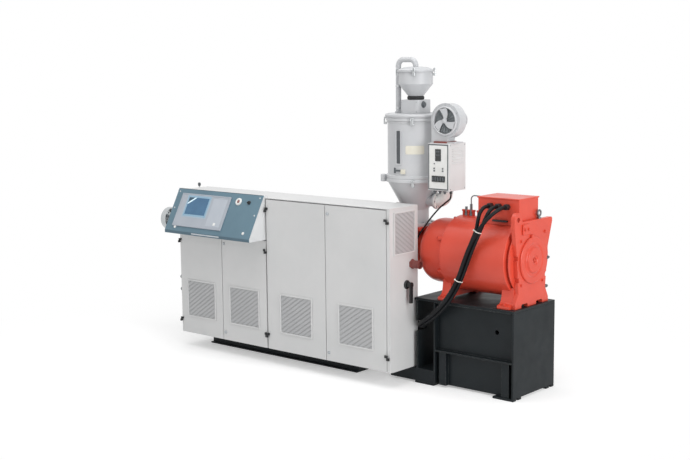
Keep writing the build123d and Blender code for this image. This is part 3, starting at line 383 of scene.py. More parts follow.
# Bare metals: lines run round a turned part and along a rolled one
TURNED_STEEL = DrawnMetal(
    "turned_steel", "#c6c9ca", "#b6babc", 0.32, patch=0.2, grain=0.002, relief=0.08, metallic=1.0,
    lines=(1.0, 0.1, 0.1),
)
ROLLED_STEEL = DrawnMetal(
    "rolled_stainless_sheet", "#b5b7b8", "#a6a8a9", 0.34, patch=0.3, grain=0.003, relief=0.05, metallic=1.0,
    lines=(1.0, 0.2, 0.2),
)
ZINC_SHEET = Finish(
    "galvanised_sheet", "#b3b7ba", "#9da3a8", 0.45, patch=0.03, grain=0.02, relief=0.02, metallic=0.9
)
BRIGHT_STEEL = DrawnMetal(
    "zinc_plated_steel", "#c3c5c6", "#aeb1b3", 0.28, patch=0.05, grain=0.002, relief=0.04, metallic=1.0
)
DULL_STEEL = DrawnMetal(
    "grey_forged_steel", "#83888b", "#6f7477", 0.42, patch=0.04, grain=0.002, relief=0.08, metallic=1.0
)
ANODISED_STRIP = DrawnMetal(
    "anodised_aluminium_strip", "#c9ced2", "#bcc2c7", 0.35, patch=0.05, grain=0.002, relief=0.03, metallic=0.6
)
BROWN_PIPE = Finish("brown_oxide_primer", "#8a4640", "#77403b", 0.5, patch=0.05, grain=0.003, relief=0.1)
# Plastics and rubber: a dull moulded skin with a fine spark texture
BLACK_PLASTIC = Finish("black_polyamide", "#1e2022", "#18191b", 0.48, patch=0.05, grain=0.0012, relief=0.12)
GREY_PLASTIC = Finish("grey_polycarbonate", "#aeb4bd", "#a8afb8", 0.4, patch=0.12, grain=0.002, relief=0.06)
PALE_GREY_PLASTIC = Finish(
    "pale_grey_polyester", "#bac0c8", "#b4bbc4", 0.45, patch=0.1, grain=0.002, relief=0.04
)
DARK_GREY_PLASTIC = Finish("dark_grey_abs", "#5a5f63", "#50565a", 0.45, patch=0.05, grain=0.0015, relief=0.1)
WHITE_PLASTIC = Finish("white_abs", "#ececea", "#e2e2df", 0.35, patch=0.08, grain=0.002, relief=0.05)
CREAM_PLATE = Finish("cream_anodised_plate", "#e4e0d2", "#dbd6c6", 0.4, patch=0.08, grain=0.003, relief=0.03)
NYLON_TIE = Finish("natural_nylon", "#e6e4dd", "#d8d6ce", 0.4, patch=0.02, grain=0.001, relief=0.05)
CABLE_RUBBER = Finish(
    "black_cable_rubber", "#121417", "#0d0e10", 0.5, patch=0.06, grain=0.0015, relief=0.15, ior=1.3
)
SEAL_RUBBER = Finish("black_seal_rubber", "#17181a", "#1f2022", 0.62, patch=0.04, grain=0.0015, relief=0.15)
SMOKED_GLASS = Finish("smoked_sight_glass", "#4c5156", "#3a3f44", 0.12, patch=0.1, relief=0.0, coat=0.5)
# Dark grey for the fan's disc and blades inside the blower's inlet: painted shade
DARK_INSIDE = Finish("shaded_inside", "#888d90", "#7b8083", 0.7, patch=0.05)
FILTER_MAT = Finish("filter_mat", "#b4b5b6", "#abacad", 0.9, patch=0.01, grain=0.002, relief=0.4)
RED_BUTTON = Finish("red_brown_polycarbonate", "#8d5a58", "#7d4b49", 0.3, patch=0.02, relief=0.0, coat=0.4)
# Painted glow: pale patches round the blue field and over the bezel stand for the screen's light spreading
SCREEN_HAZE = Lit("screen_edge_haze", "#a6b6c3", "#a0b2c0", 0.3, patch=0.15, glow=0.03)
SCREEN_GLOW = Lit("screen_edge_glow", "#8eb0c6", "#86a9c0", 0.2, patch=0.15, glow=0.06)
SCREEN_BLUE = Lit("screen_blue_field", "#436f91", "#3b6485", 0.2, patch=0.12, glow=0.06)
SCREEN_DARK = Lit("screen_dark_corner", "#2c5064", "#24404f", 0.2, patch=0.1, glow=0.1)
# A painted reflection: a pale diagonal band across the screen's upper left corner
SCREEN_REFLECTION = Lit("screen_painted_reflection", "#d8ecf6", "#c4e2f1", 0.2, patch=0.1, glow=0.35)
DISPLAY_BLACK = Finish("black_display_window", "#1b2022", "#161a1c", 0.15, patch=0.05, relief=0.0, coat=0.4)


# Mesh making


def facing(origin: Point, axis: Point) -> Matrix:
    """Return the matrix that stands a shape's own Z along an axis at a point."""
    turn = Vector(axis).to_track_quat("Z", "Y").to_matrix().to_4x4()
    return Matrix.Translation(Vector(origin)) @ turn


def cube(low: Point, high: Point) -> bmesh.types.BMesh:
    """Return a box between two corners as a new shape."""
    shape = bmesh.new()
    low, high = Vector(low), Vector(high)
    place = Matrix.Translation((low + high) / 2) @ Matrix.Diagonal((*(high - low), 1.0))
    bmesh.ops.create_cube(shape, size=1.0, matrix=place)
    return shape


def add_object(name: str, data: bpy.types.ID) -> bpy.types.Object:
    """Put an object with its data into the scene."""
    made = bpy.data.objects.new(name, data)
    bpy.context.scene.collection.objects.link(made)
    return made


class Part:
    """A mesh in the making, to which each method adds one closed shape."""

    def __init__(self) -> None:
        """Start with an empty mesh."""
        self.mesh = bmesh.new()

    def join(
        self, shape: bmesh.types.BMesh, rounding: float, steps: int = 2, turn: Matrix | None = None,
        sharp: float = 25.0,
    ) -> "Part":
        """Close, round and place a shape, and take it into the mesh.

        Args:
            shape: the new shape, which is freed.
            rounding: width of the rounded edges, or 0.
            steps: faces across each rounded edge.
            turn: matrix that moves the finished shape.
            sharp: least angle in degrees of an edge that gets rounded.

        Returns:
            This part.
        """
        bmesh.ops.remove_doubles(shape, verts=shape.verts, dist=MERGE)
        bmesh.ops.recalc_face_normals(shape, faces=shape.faces)
        if rounding:
            shape.normal_update()
            limit = radians(sharp)
            edges = [e for e in shape.edges if e.is_manifold and e.calc_face_angle() > limit]
            bmesh.ops.bevel(
                shape, geom=edges, offset=rounding, offset_type="OFFSET", affect="EDGES", segments=steps,
                profile=0.5, material=-1, clamp_overlap=True,
            )
        if turn:
            bmesh.ops.transform(shape, matrix=turn, verts=shape.verts)
        data = bpy.data.meshes.new("shape")
        shape.to_mesh(data)
        shape.free()
        self.mesh.from_mesh(data)
        bpy.data.meshes.remove(data)
        return self

    def block(
        self, low: Point, high: Point, rounding: float = 0.0, steps: int = 2,
        turn: Matrix | None = None,
    ) -> "Part":
        """Add a box between two corners.

        Args:
            low: lowest corner.
            high: highest corner.
            rounding: width of the rounded edges.
            steps: faces across each rounded edge.
            turn: matrix that moves the finished box.

        Returns:
            This part.
        """
        return self.join(cube(low, high), rounding, steps, turn)

    def tray(self, low: Point, high: Point, wall: float, floor: float, rounding: float) -> "Part":
        """Add a folded sheet pan that is open towards +Y.

        Args:
            low: lowest corner.
            high: highest corner.
            wall: width of the fold round the opening.
            floor: thickness of the sheet.
            rounding: width of the rounded edges.

        Returns:
            This part.
        """
        shape = cube(low, high)
        rear = max(shape.faces, key=lambda face: face.calc_center_median().y)
        bmesh.ops.inset_region(shape, faces=[rear], thickness=wall)
        inner = bmesh.ops.extrude_discrete_faces(shape, faces=[rear])["faces"][0]
        bmesh.ops.translate(shape, vec=(0, low[1] + floor - high[1], 0), verts=inner.verts)
        return self.join(shape, rounding)

    def prism(self, outline: Iterable[Point], push: Point, rounding: float = 0.0, steps: int = 2) -> "Part":
        """Add a flat outline pushed along a vector.

        Args:
            outline: corners of the flat face.
            push: vector from that face to the far one.
            rounding: width of the rounded edges.
            steps: faces across each rounded edge.

        Returns:
            This part.
        """
        shape = bmesh.new()
        face = shape.faces.new([shape.verts.new(corner) for corner in outline])
        made = bmesh.ops.extrude_face_region(shape, geom=[face])["geom"]
        bmesh.ops.translate(shape, vec=push, verts=[v for v in made if isinstance(v, bmesh.types.BMVert)])
        return self.join(shape, rounding, steps)

    def border(
        self, centre: Vector, right: Vector, up: Vector, size: tuple[float, float], width: float,
        depth: float, rounding: float = 0.0,
    ) -> "Part":
        """Add a flat rectangular frame that stands on a face.

        Args:
            centre: middle of the frame on that face.
            right: way to the frame's right.
            up: way to the frame's top.
            size: outer width and height.
            width: width of the frame's bars.
            depth: how far it stands out, along right x up.
            rounding: width of the rounded edges.

        Returns:
            This part.
        """
        rings = []
        for inset, rise in ((0.0, 0.0), (0.0, depth), (width, depth), (width, 0.0)):
            half_x, half_y = right * (size[0] / 2 - inset), up * (size[1] / 2 - inset)
            base = centre + right.cross(up) * rise
            rings.append(rectangle(base, half_x, half_y))
        return self.loops(rings, rounding)

    def loops(self, rings: Sequence[Sequence[Vector]], rounding: float = 0.0) -> "Part":
        """Add a closed band through rings of corners, of which the last joins the first.

        Args:
            rings: rings with as many corners each.
            rounding: width of the rounded edges.

        Returns:
            This part.
        """
        shape = bmesh.new()
        made = [[shape.verts.new(corner) for corner in ring] for ring in rings]
        for ring, following in zip(made, made[1:] + made[:1]):
            for corner in range(len(ring)):
                before = corner - 1
                shape.faces.new((ring[before], ring[corner], following[corner], following[before]))
        return self.join(shape, rounding)

    def turned(
        self, profile: Sequence[tuple[float, float]], origin: Point, axis: Point,
        rounding: float = 0.0, steps: int = 96, closed: bool = False,
    ) -> "Part":
        """Add a turned shape.

        Args:
            profile: distance along the axis and radius of each corner.
            origin: point on the axis from which distances count.
            axis: direction of the axis.
            rounding: width of the rounded edges.
            steps: faces round the axis.
            closed: whether the profile's last corner joins its first, as in a ring.

        Returns:
            This part.
        """
        shape = bmesh.new()
        place = facing(origin, axis)
        corners = [shape.verts.new(place @ Vector((radius, 0, along))) for along, radius in profile]
        pairs = list(zip(corners, corners[1:])) + ([(corners[-1], corners[0])] if closed else [])
        lines = [shape.edges.new(pair) for pair in pairs]
        bmesh.ops.spin(
            shape, geom=corners + lines, cent=origin, axis=axis, angle=tau, steps=steps, use_merge=True,
            use_duplicate=False,
        )
        return self.join(shape, rounding)

    def band(
        self, origin: Point, axis: Vector, radii: tuple[float, float], heights: tuple[float, float],
        middle: float, span: float, rounding: float = 0.0,
    ) -> "Part":
        """Add a curved plate that lies round an axis.

        Args:
            origin: point on the axis from which heights count.
            axis: direction of the axis.
            radii: inner and outer radius.
            heights: lower and upper edge along the axis.
            middle: angle of the plate's middle, in degrees.
            span: angle that it covers, in degrees.
            rounding: width of the rounded edges.

        Returns:
            This part.
        """
        shape = bmesh.new()
        place = Matrix.Translation(Vector(origin)) @ Matrix.Rotation(radians(middle - span / 2), 4, axis)
        (inner, outer), (low, high) = radii, heights
        corners = [
            shape.verts.new(place @ Vector((radius, 0, height)))
            for radius, height in ((inner, low), (outer, low), (outer, high), (inner, high))
        ]
        face = shape.faces.new(corners)
        bmesh.ops.spin(
            shape, geom=corners + list(face.edges) + [face], cent=origin, axis=axis, angle=radians(span),
            steps=max(4, round(span / 3)), use_duplicate=False,
        )
        return self.join(shape, rounding, sharp=40.0)

    def rod(
        self, start: Point, axis: Point, radius: float, length: float, rounding: float = 0.0,
        sides: int = 32, tip: float | None = None,
    ) -> "Part":
        """Add a round or many-sided bar.

        Args:
            start: middle of the bar's first end.
            axis: direction of the bar.
            radius: radius at the first end.
            length: length of the bar.
            rounding: width of the rounded edges.
            sides: number of sides.
            tip: radius at the far end, if it tapers.

        Returns:
            This part.
        """
        shape = bmesh.new()
        place = facing(Vector(start) + Vector(axis).normalized() * length / 2, axis)
        bmesh.ops.create_cone(
            shape, cap_ends=True, segments=sides, radius1=radius, radius2=radius if tip is None else tip,
            depth=length, matrix=place,
        )
        return self.join(shape, rounding, sharp=40.0)

    def bolt(self, seat: Point, axis: Point, across: float = 0.024) -> "Part":
        """Add a hexagon head on its washer.

        Args:
            seat: point on the face that it clamps.
            axis: way out of that face.
            across: width across the head's corners.

        Returns:
            This part.
        """
        out = Vector(axis).normalized()
        washer = across * 0.12
        self.rod(seat, out, across * 0.72, washer, sides=18)
        self.rod(Vector(seat) + out * washer, out, across / 2, across * 0.36, across * 0.05, sides=6)
        return self

    def screw(self, seat: Point, axis: Point, radius: float = 0.006) -> "Part":
        """Add a small domed screw head at a point on a face."""
        profile = [(0, 0), (0, 1), (0.35, 0.85), (0.55, 0.4), (0.55, 0)]
        return self.turned([(radius * along, radius * out) for along, out in profile], seat, axis, steps=14)

    def pipe(
        self, start: Point, axis: Point, radius: float,
        moves: Sequence[tuple[float, Vector | None, float]], sides: int = 40,
    ) -> "Part":
        """Add a rigid pipe of straight runs and quarter bends.

        Args:
            start: middle of the first end.
            axis: direction of the first run.
            radius: radius of the pipe.
            moves: for a run its length, None and 0; for a bend its radius, the way it turns to and its
                angle.
            sides: faces round the pipe.

        Returns:
            This part.
        """
        shape = bmesh.new()
        point, way = Vector(start), Vector(axis).normalized()
        bmesh.ops.create_circle(shape, segments=sides, radius=radius, matrix=facing(point, way))
        ring: list = list(shape.edges)
        for amount, towards, angle in moves:
            if towards is None:
                made = bmesh.ops.extrude_edge_only(shape, edges=ring)["geom"]
                bmesh.ops.translate(
                    shape, vec=way * amount, verts=[v for v in made if isinstance(v, bmesh.types.BMVert)]
                )
                point = point + way * amount
            else:
                centre, pivot = point + towards * amount, way.cross(towards)
                corners = {corner for edge in ring for corner in edge.verts}
                made = bmesh.ops.spin(
                    shape, geom=list(corners) + ring, cent=centre, axis=pivot, angle=angle, steps=14,
                    use_duplicate=False,
                )["geom_last"]
                turn = Matrix.Rotation(angle, 3, pivot)
                point, way = centre + turn @ (point - centre), turn @ way
            ring = [e for e in made if isinstance(e, bmesh.types.BMEdge)]
        bmesh.ops.holes_fill(shape, edges=shape.edges, sides=0)
        return self.join(shape, 0.0)

    def slats(
        self, centre: Vector, right: Vector, up: Vector, size: tuple[float, float], angle: float,
        pitch: float,
        blade: float, tilt: float, thickness: float = 0.0018,
    ) -> "Part":
        """Add slanting blades that end at a rectangular opening's sides.

        Args:
            centre: middle of the opening, on the blades' own level.
            right: way to the opening's right.
            up: way to its top.
            size: its width and height.
            angle: slant of the blades in degrees, rising to the right.
            pitch: distance from blade to blade.
            blade: width of a blade.
            tilt: how far each blade leans out, in degrees.
            thickness: thickness of a blade.

        Returns:
            This part.
        """
        shape = bmesh.new()
        out = right.cross(up)
        reach = sum(size)
        plane = Matrix((right, up, out)).transposed().to_4x4()
        count = int((size[1] + size[0] * abs(tan(radians(angle)))) / pitch / 2) + 1
        for step in range(-count, count + 1):
            rise = step * pitch / cos(radians(angle))
            place = (
                Matrix.Translation(centre + up * rise) @ plane @ Matrix.Rotation(radians(angle), 4, "Z")
                @ Matrix.Rotation(radians(tilt), 4, "X") @ Matrix.Diagonal((reach, blade, thickness, 1))
            )
            bmesh.ops.create_cube(shape, size=1.0, matrix=place)
        for way, extent in ((right, size[0]), (-right, size[0]), (up, size[1]), (-up, size[1])):
            everything = shape.verts[:] + shape.edges[:] + shape.faces[:]
            cut = bmesh.ops.bisect_plane(
                shape, geom=everything, plane_co=centre + way * extent / 2, plane_no=way, clear_outer=True
            )["geom_cut"]
            bmesh.ops.holes_fill(shape, edges=[e for e in cut if isinstance(e, bmesh.types.BMEdge)], sides=0)
        return self.join(shape, 0.0)

    def node(self, name: str, rounding: float, steps: int = 2) -> "Part":
        """Add a solid of the model with its edges rounded.

        Args:
            name: the solid's node.
            rounding: width of the rounded edges.
            steps: faces across each rounded edge.

        Returns:
            This part.
        """
        shape = bmesh.new()
        shape.from_mesh(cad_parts[name].data)
        bmesh.ops.remove_doubles(shape, verts=shape.verts, dist=NODE_MERGE)
        bmesh.ops.dissolve_limit(shape, angle_limit=radians(0.5), verts=shape.verts, edges=shape.edges)
        return self.join(shape, rounding, steps)

    def piece(
        self, name: str, finish: Finish, slot: str, stands_for: Iterable[str] = (), body: Body = Body.MACHINE,
        sharp: float = 35.0,
    ) -> bpy.types.Object:
        """Turn the mesh into a piece of the machine.

        Args:
            name: the piece's name.
            finish: its finish.
            slot: not used.
            stands_for: nodes of the model that it stands for.
            body: the body that carries it.
            sharp: angle in degrees from which an edge stays crisp.

        Returns:
            The piece.
        """
        data = bpy.data.meshes.new(name)
        self.mesh.to_mesh(data)
        self.mesh.free()
        data.shade_smooth()
        data.set_sharp_from_angle(angle=radians(sharp))
        data.materials.append(finish.make())
        made = add_object(name, data)
        weighted = made.modifiers.new("Even shading", "WEIGHTED_NORMAL")
        weighted.keep_sharp = True
        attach(made, body.value)
        if stands_for:
            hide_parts(*stands_for)
        log.info("%s: %d faces on %s", name, len(data.polygons), body.value)
        return made


def coat_node(name: str, finish: Finish) -> None:
    """Give a solid of the model that stays in view its finish."""
    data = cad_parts[name].data
    data.materials.clear()
    data.materials.append(finish.make())
    log.info("%s: solid in %s", name, finish.name)


@dataclass(frozen=True)
class Rounded:
    """A solid of the model that only gets rounded edges and a finish."""

    node: str
    name: str
    finish: Finish
    slot: str
    rounding: float
    steps: int = 2
    body: Body = Body.MACHINE

    def build(self) -> None:
        """Make the piece that stands for the solid."""
        part = Part().node(self.node, self.rounding, self.steps)
        part.piece(self.name, self.finish, self.slot, [self.node], self.body)


def around(count: int, first: float = 0.0) -> list[float]:
    """Return evenly spaced angles round a circle, in radians, from a first one in degrees."""
    return [radians(first) + step * tau / count for step in range(count)]


def circle_way(axis: Vector, angle: float) -> Vector:
    """Return the way out from X, Y or Z at an angle in radians."""
    way = [cos(angle), sin(angle)]
    way.insert(list(axis).index(1.0), 0.0)
    return Vector(way)


def middle_of(name: str, **given: float) -> Vector:
    """Return the middle of a solid's box, with the coordinates that are given put in."""
    point = sum(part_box(name), Vector()) / 2
    for axis, value in given.items():
        setattr(point, axis, value)
    return point


def rectangle(base: Vector, half_x: Vector, half_y: Vector) -> list[Vector]:
    """Return a rectangle's corners from its middle and its half sides."""
    return [base - half_x - half_y, base + half_x - half_y, base + half_x + half_y, base - half_x + half_y]


# Studio


@dataclass
class Studio:
    """The camera of the photograph, a pale floor and soft light."""

    eye: tuple[float, float, float] = (6.5325, -7.2045, 2.4515)
    yaw: float = 40.63
    pitch: float = 8.07
    roll: float = -0.611
    focal_pixels: float = 1199.155
    ambient: float = 0.52
    floor_reach: float = 60.0
    floor_lift: float = 0.34
    fade: tuple[float, float] = (1.4, 3.4)

    def camera(self) -> None:
        """Place the camera."""
        yaw, pitch, roll = (radians(angle) for angle in (self.yaw, self.pitch, self.roll))
        ahead = Vector((-sin(yaw) * cos(pitch), cos(yaw) * cos(pitch), -sin(pitch)))
        level = Vector((cos(yaw), sin(yaw), 0))
        above = level.cross(ahead)
        right = cos(roll) * level + sin(roll) * above
        up = cos(roll) * above - sin(roll) * level
        lens = bpy.data.cameras.new("camera")
        lens.sensor_width = SENSOR_WIDTH
        lens.lens = self.focal_pixels * SENSOR_WIDTH / IMAGE_WIDTH
        lens.clip_end = 200.0
        camera = add_object("camera", lens)
        turn = Matrix((right, up, -ahead)).transposed().to_4x4()
        camera.matrix_world = Matrix.Translation(Vector(self.eye)) @ turn
        bpy.context.scene.camera = camera

    def lamp(self, name: str, place: Point, aim: Point, side: float, watts: float) -> None:
        """Hang one square soft light.

        Args:
            name: the lamp's name.
            place: where it hangs.
            aim: the point that it shines at.
            side: length of its sides.
            watts: its power.
        """
        light = bpy.data.lights.new(name, "AREA")
        light.shape, light.size, light.energy = "SQUARE", side, watts
        lamp = add_object(name, light)
        lamp.matrix_world = facing(place, Vector(place) - Vector(aim))

    def world(self) -> None:
        """Fill the room with even light that the camera and mirrors see as white."""
        world = bpy.data.worlds.new("studio")
        bpy.context.scene.world = world
        world.use_nodes = True
        tree = world.node_tree
        tree.nodes.clear()
        seen = self.any_ray(tree)
        level = add_node(
            tree, "ShaderNodeMapRange", {"To Min": self.ambient, "To Max": 1.0}, {"Value": seen}
        )
        glow = add_node(
            tree, "ShaderNodeBackground", {"Color": (1, 1, 1, 1)}, {"Strength": level.outputs["Result"]}
        )
        add_node(tree, "ShaderNodeOutputWorld", links={"Surface": glow.outputs["Background"]})

    def any_ray(self, tree: Tree) -> Socket:
        """Return a socket that is 1 for rays from the camera, a mirror or glass."""
        rays = add_node(tree, "ShaderNodeLightPath").outputs
        seen = rays["Is Camera Ray"]
        for kind in ("Is Glossy Ray", "Is Transmission Ray"):
            most = add_node(tree, "ShaderNodeMath", {"operation": "MAXIMUM"}, {0: seen, 1: rays[kind]})
            seen = most.outputs[0]
        return seen

    def floor(self) -> None:
        """Lay a pale floor that keeps the machine's shadow."""
        shape = bmesh.new()
        bmesh.ops.create_grid(shape, x_segments=1, y_segments=1, size=self.floor_reach)
        data = bpy.data.meshes.new("floor")
        shape.to_mesh(data)
        shape.free()
        floor = add_object("floor", data)
        material = bpy.data.materials.new("pale_floor")
        material.use_nodes = True
        tree = material.node_tree
        tree.nodes.clear()
        dull = add_node(tree, "ShaderNodeBsdfDiffuse", {"Color": (0.80, 0.80, 0.80, 1)})
        seen = self.any_ray(tree)
        lift = add_node(tree, "ShaderNodeMapRange", {"To Max": self.floor_lift}, {"Value": seen})
        glow = add_node(tree, "ShaderNodeEmission", links={"Strength": lift.outputs["Result"]})
        near = add_node(tree, "ShaderNodeAddShader", links={0: dull.outputs[0], 1: glow.outputs[0]})
        place = add_node(tree, "ShaderNodeTexCoord").outputs["Object"]
        far = add_node(tree, "ShaderNodeVectorMath", {"operation": "LENGTH"}, {0: place})
        fade = add_node(
            tree, "ShaderNodeMapRange",
            {"interpolation_type": "SMOOTHSTEP", "From Min": self.fade[0], "From Max": self.fade[1]},
            {"Value": far.outputs["Value"]},
        )
        share = add_node(
            tree, "ShaderNodeMath", {"operation": "MULTIPLY"}, {0: fade.outputs["Result"], 1: seen}
        )
        white = add_node(tree, "ShaderNodeEmission", {"Strength": 1.0})
        whole = add_node(
            tree, "ShaderNodeMixShader", links={0: share.outputs[0], 1: near.outputs[0], 2: white.outputs[0]}
        )
        add_node(tree, "ShaderNodeOutputMaterial", links={"Surface": whole.outputs[0]})
        data.materials.append(material)

    def build(self) -> None:
        """Set up camera, floor and light."""
        bpy.context.scene.view_settings.view_transform = "Standard"
        self.camera()
        self.world()
        self.floor()
        self.lamp("top_light", (0.5, -1.0, 6.5), (0.3, 0.0, 1.0), 6.0, 210.0)
        self.lamp("end_light", (8.4, -2.0, 2.5), (1.1, 0.0, 0.8), 4.0, 290.0)
        self.lamp("front_light", (-2.0, -8.0, 3.5), (0.0, 0.0, 1.0), 5.0, 50.0)


# Cables


@dataclass
class Cables:
    """The drive's three supply cables and the dryer's lead, with their ties."""

    drive_diameter: float = 0.028
    lead_diameter: float = 0.012
    datum: tuple[float, float, float] = (1.0945, -0.3635, 0.0)

    # Route points in millimetres from the cabinet's end, the door fronts and the floor, as in the model
    routes: ClassVar[dict[str, list[Point]]] = {
        "motor_cable_1": [
            (600, 397.0, 1390), (600, 357, 1390), (599, 320, 1376), (596, 290, 1344), (590, 279, 1292),
            (581, 276, 1229), (554, 250, 1139), (512, 236, 1027), (451, 232, 862), (361, 228, 710),
            (247, 228, 594),
            (157, 251, 528), (74, 305, 482), (6, 401, 447), (-82, 490, 424), (-180, 528, 414),
            (-280, 520, 412), (-346, 468, 412), (-368, 412, 412), (-368, 372, 412),
        ],
        "motor_cable_2": [
            (672, 397.0, 1390), (672, 357, 1390), (670, 319, 1375), (662, 290, 1342), (644, 277, 1290),
            (611, 277, 1219), (584, 250, 1129), (542, 236, 1017), (477, 232, 846), (385, 228, 688),
            (269, 228, 570),
            (173, 246, 502), (86, 301, 454), (14, 399, 417), (-78, 490, 392), (-180, 528, 382),
            (-280, 520, 372), (-346, 468, 364), (-368, 412, 362), (-368, 372, 362),
        ],
        "motor_cable_3": [
            (744, 397.0, 1390), (744, 355, 1390), (736, 312, 1376), (712, 276, 1348), (676, 252, 1304),
            (640, 243, 1256), (604, 236, 1200), (569, 221, 1136), (527, 208, 1024), (464, 204, 854),
            (373, 200, 699),
            (258, 200, 582), (151, 225, 512), (62, 282, 463), (-10, 381, 428), (-96, 466, 406),
            (-165, 488, 399), (-235, 476, 398), (-280, 440, 397), (-296, 404, 397), (-296, 372, 397),
        ],
        "dryer_cable": [
            (266, 400, 1456), (266, 400, 1438), (256, 404, 1416), (206, 416, 1386), (144, 420, 1340),
            (78, 402, 1262), (36, 374, 1190), (-4, 362, 1130), (-34, 388, 1102), (-66, 410, 1088),
            (-111, 412, 1077), (-130, 392, 1070), (-130, 364, 1070),
        ],
    }
    # Where the ties hold the bundle: middle and direction, in the same millimetres
    tie_places: ClassVar[tuple[tuple[Point, Point], ...]] = (
        ((598, 262, 1216), (-0.30, -0.24, -0.92)), ((464, 222, 854), (-0.50, -0.03, -0.86)),
    )
    tie_width: float = 0.007
    tie_thickness: float = 0.0022

    def place(self, point: Point) -> Vector:
        """Return a route point in the machine's frame, in metres."""
        return Vector(self.datum) + Vector(point) / 1000

    def cable(self, name: str, diameter: float) -> None:
        """Lay one cable along its route.

        Args:
            name: the solid that it stands for.
            diameter: its diameter.
        """
        points = [self.place(point) for point in self.routes[name]]
        curve = bpy.data.curves.new(f"{name}_sheath", "CURVE")
        curve.dimensions = "3D"
        spline = curve.splines.new("NURBS")
        spline.points.add(len(points) - 1)
        for control, point in zip(spline.points, points):
            control.co = (*point, 1.0)
        spline.order_u = 3
        spline.use_endpoint_u = True
        spline.resolution_u = 6
        curve.bevel_depth = diameter / 2
        curve.bevel_resolution = 5
        curve.use_fill_caps = True
        curve.materials.append(CABLE_RUBBER.make())
        made = add_object(f"{name}_sheath", curve)
        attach(made, Body.MACHINE.value)
        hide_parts(name)

    def crossing(self, name: str, centre: Vector, axis: Vector) -> Vector:
        """Return the point where a cable's route passes through a tie.

        Args:
            name: the cable.
            centre: middle of the tie.
            axis: direction of the bundle there.

        Returns:
            The nearest point of the route in the tie's plane.
        """
        points = [self.place(point) for point in self.routes[name]]
        found = []
        for start, end in zip(points, points[1:]):
            before, after = (start - centre).dot(axis), (end - centre).dot(axis)
            if before * after < 0:
                found.append(start.lerp(end, before / (before - after)))
        return min(found, key=lambda point: (point - centre).length)

    def tie(self, number: int) -> bpy.types.Object:
        """Pull one tie tight round the bundle and return it."""
        middle, way = self.tie_places[number]
        centre, axis = self.place(middle), Vector(way).normalized()
        cores = [self.crossing(name, centre, axis) for name in self.routes if name != "dryer_cable"]
        right = axis.orthogonal().normalized()
        reach = self.drive_diameter / 2
        half = axis * self.tie_width / 2
        rings = []
        for angle in around(48):
            out = cos(angle) * right + sin(angle) * axis.cross(right)
            core = max(cores, key=lambda point: point.dot(out))
            near, far = core + out * reach, core + out * (reach + self.tie_thickness)
            rings.append([near - half, far - half, far + half, near + half])
        part = Part().loops(rings)
        core = max(cores, key=lambda point: point.dot(right))
        head = facing(core + right * (reach + 0.004), axis)
        part.block((-0.006, -0.005, -0.006), (0.006, 0.005, 0.006), 0.0015, turn=head)
        return part.piece(f"cable_tie_{number + 1}", NYLON_TIE, "box_white")

    def build(self) -> None:
        """Lay all cables and their ties."""
        ties = [self.tie(number) for number in range(len(self.tie_places))]
        for name in ("motor_cable_1", "motor_cable_2", "motor_cable_3"):
            self.cable(name, self.drive_diameter)
        self.cable("dryer_cable", self.lead_diameter)


# Cabinet


@dataclass
class Grille:
    """A framed vent with slanting louvres."""

    bar: float = 0.014
    proud: float = 0.008
    pitch: float = 0.030
    blade: float = 0.020
    tilt: float = -8.0
    seat: float = 0.0026
    slant: float = 34.0

    def build(
        self, name: str, centre: Vector, right: Vector, size: tuple[float, float], rising: int, body: Body
    ) -> None:
        """Make the frame, the louvres and the mat behind them.

        Args:
            name: first word of the pieces' names.
            centre: middle of the vent on the sheet's face.
            right: way to the vent's right, seen from outside.
            size: outer width and height.
            rising: 1 where the louvres rise to the right, and -1 where they fall.
            body: the body that carries the vent.
        """
        out = right.cross(Z)
        inner = (size[0] - 2 * self.bar, size[1] - 2 * self.bar)
        Part().border(centre + out * 0.0004, right, Z, size, self.bar, self.proud - 0.0004, 0.0036).piece(
            f"{name}_frame", CABINET_COAT, "cabinet_paint", body=body
        )
        # The louvres take the darker copy of the cabinet paint: painted shade
        Part().slats(
            centre + out * self.seat, right, Z, inner, rising * self.slant, self.pitch, self.blade, self.tilt
        ).piece(f"{name}_louvres", LOUVRE_COAT, "cabinet_paint", body=body)
        half_x, half_z = right * (inner[0] / 2 + 0.004), Z * (inner[1] / 2 + 0.004)
        base = centre + out * 0.0004
        mat = Part().prism(rectangle(base, half_x, half_z), out * 0.0006)
        mat.piece(f"{name}_filter_mat", FILTER_MAT, "cabinet_paint", body=body)


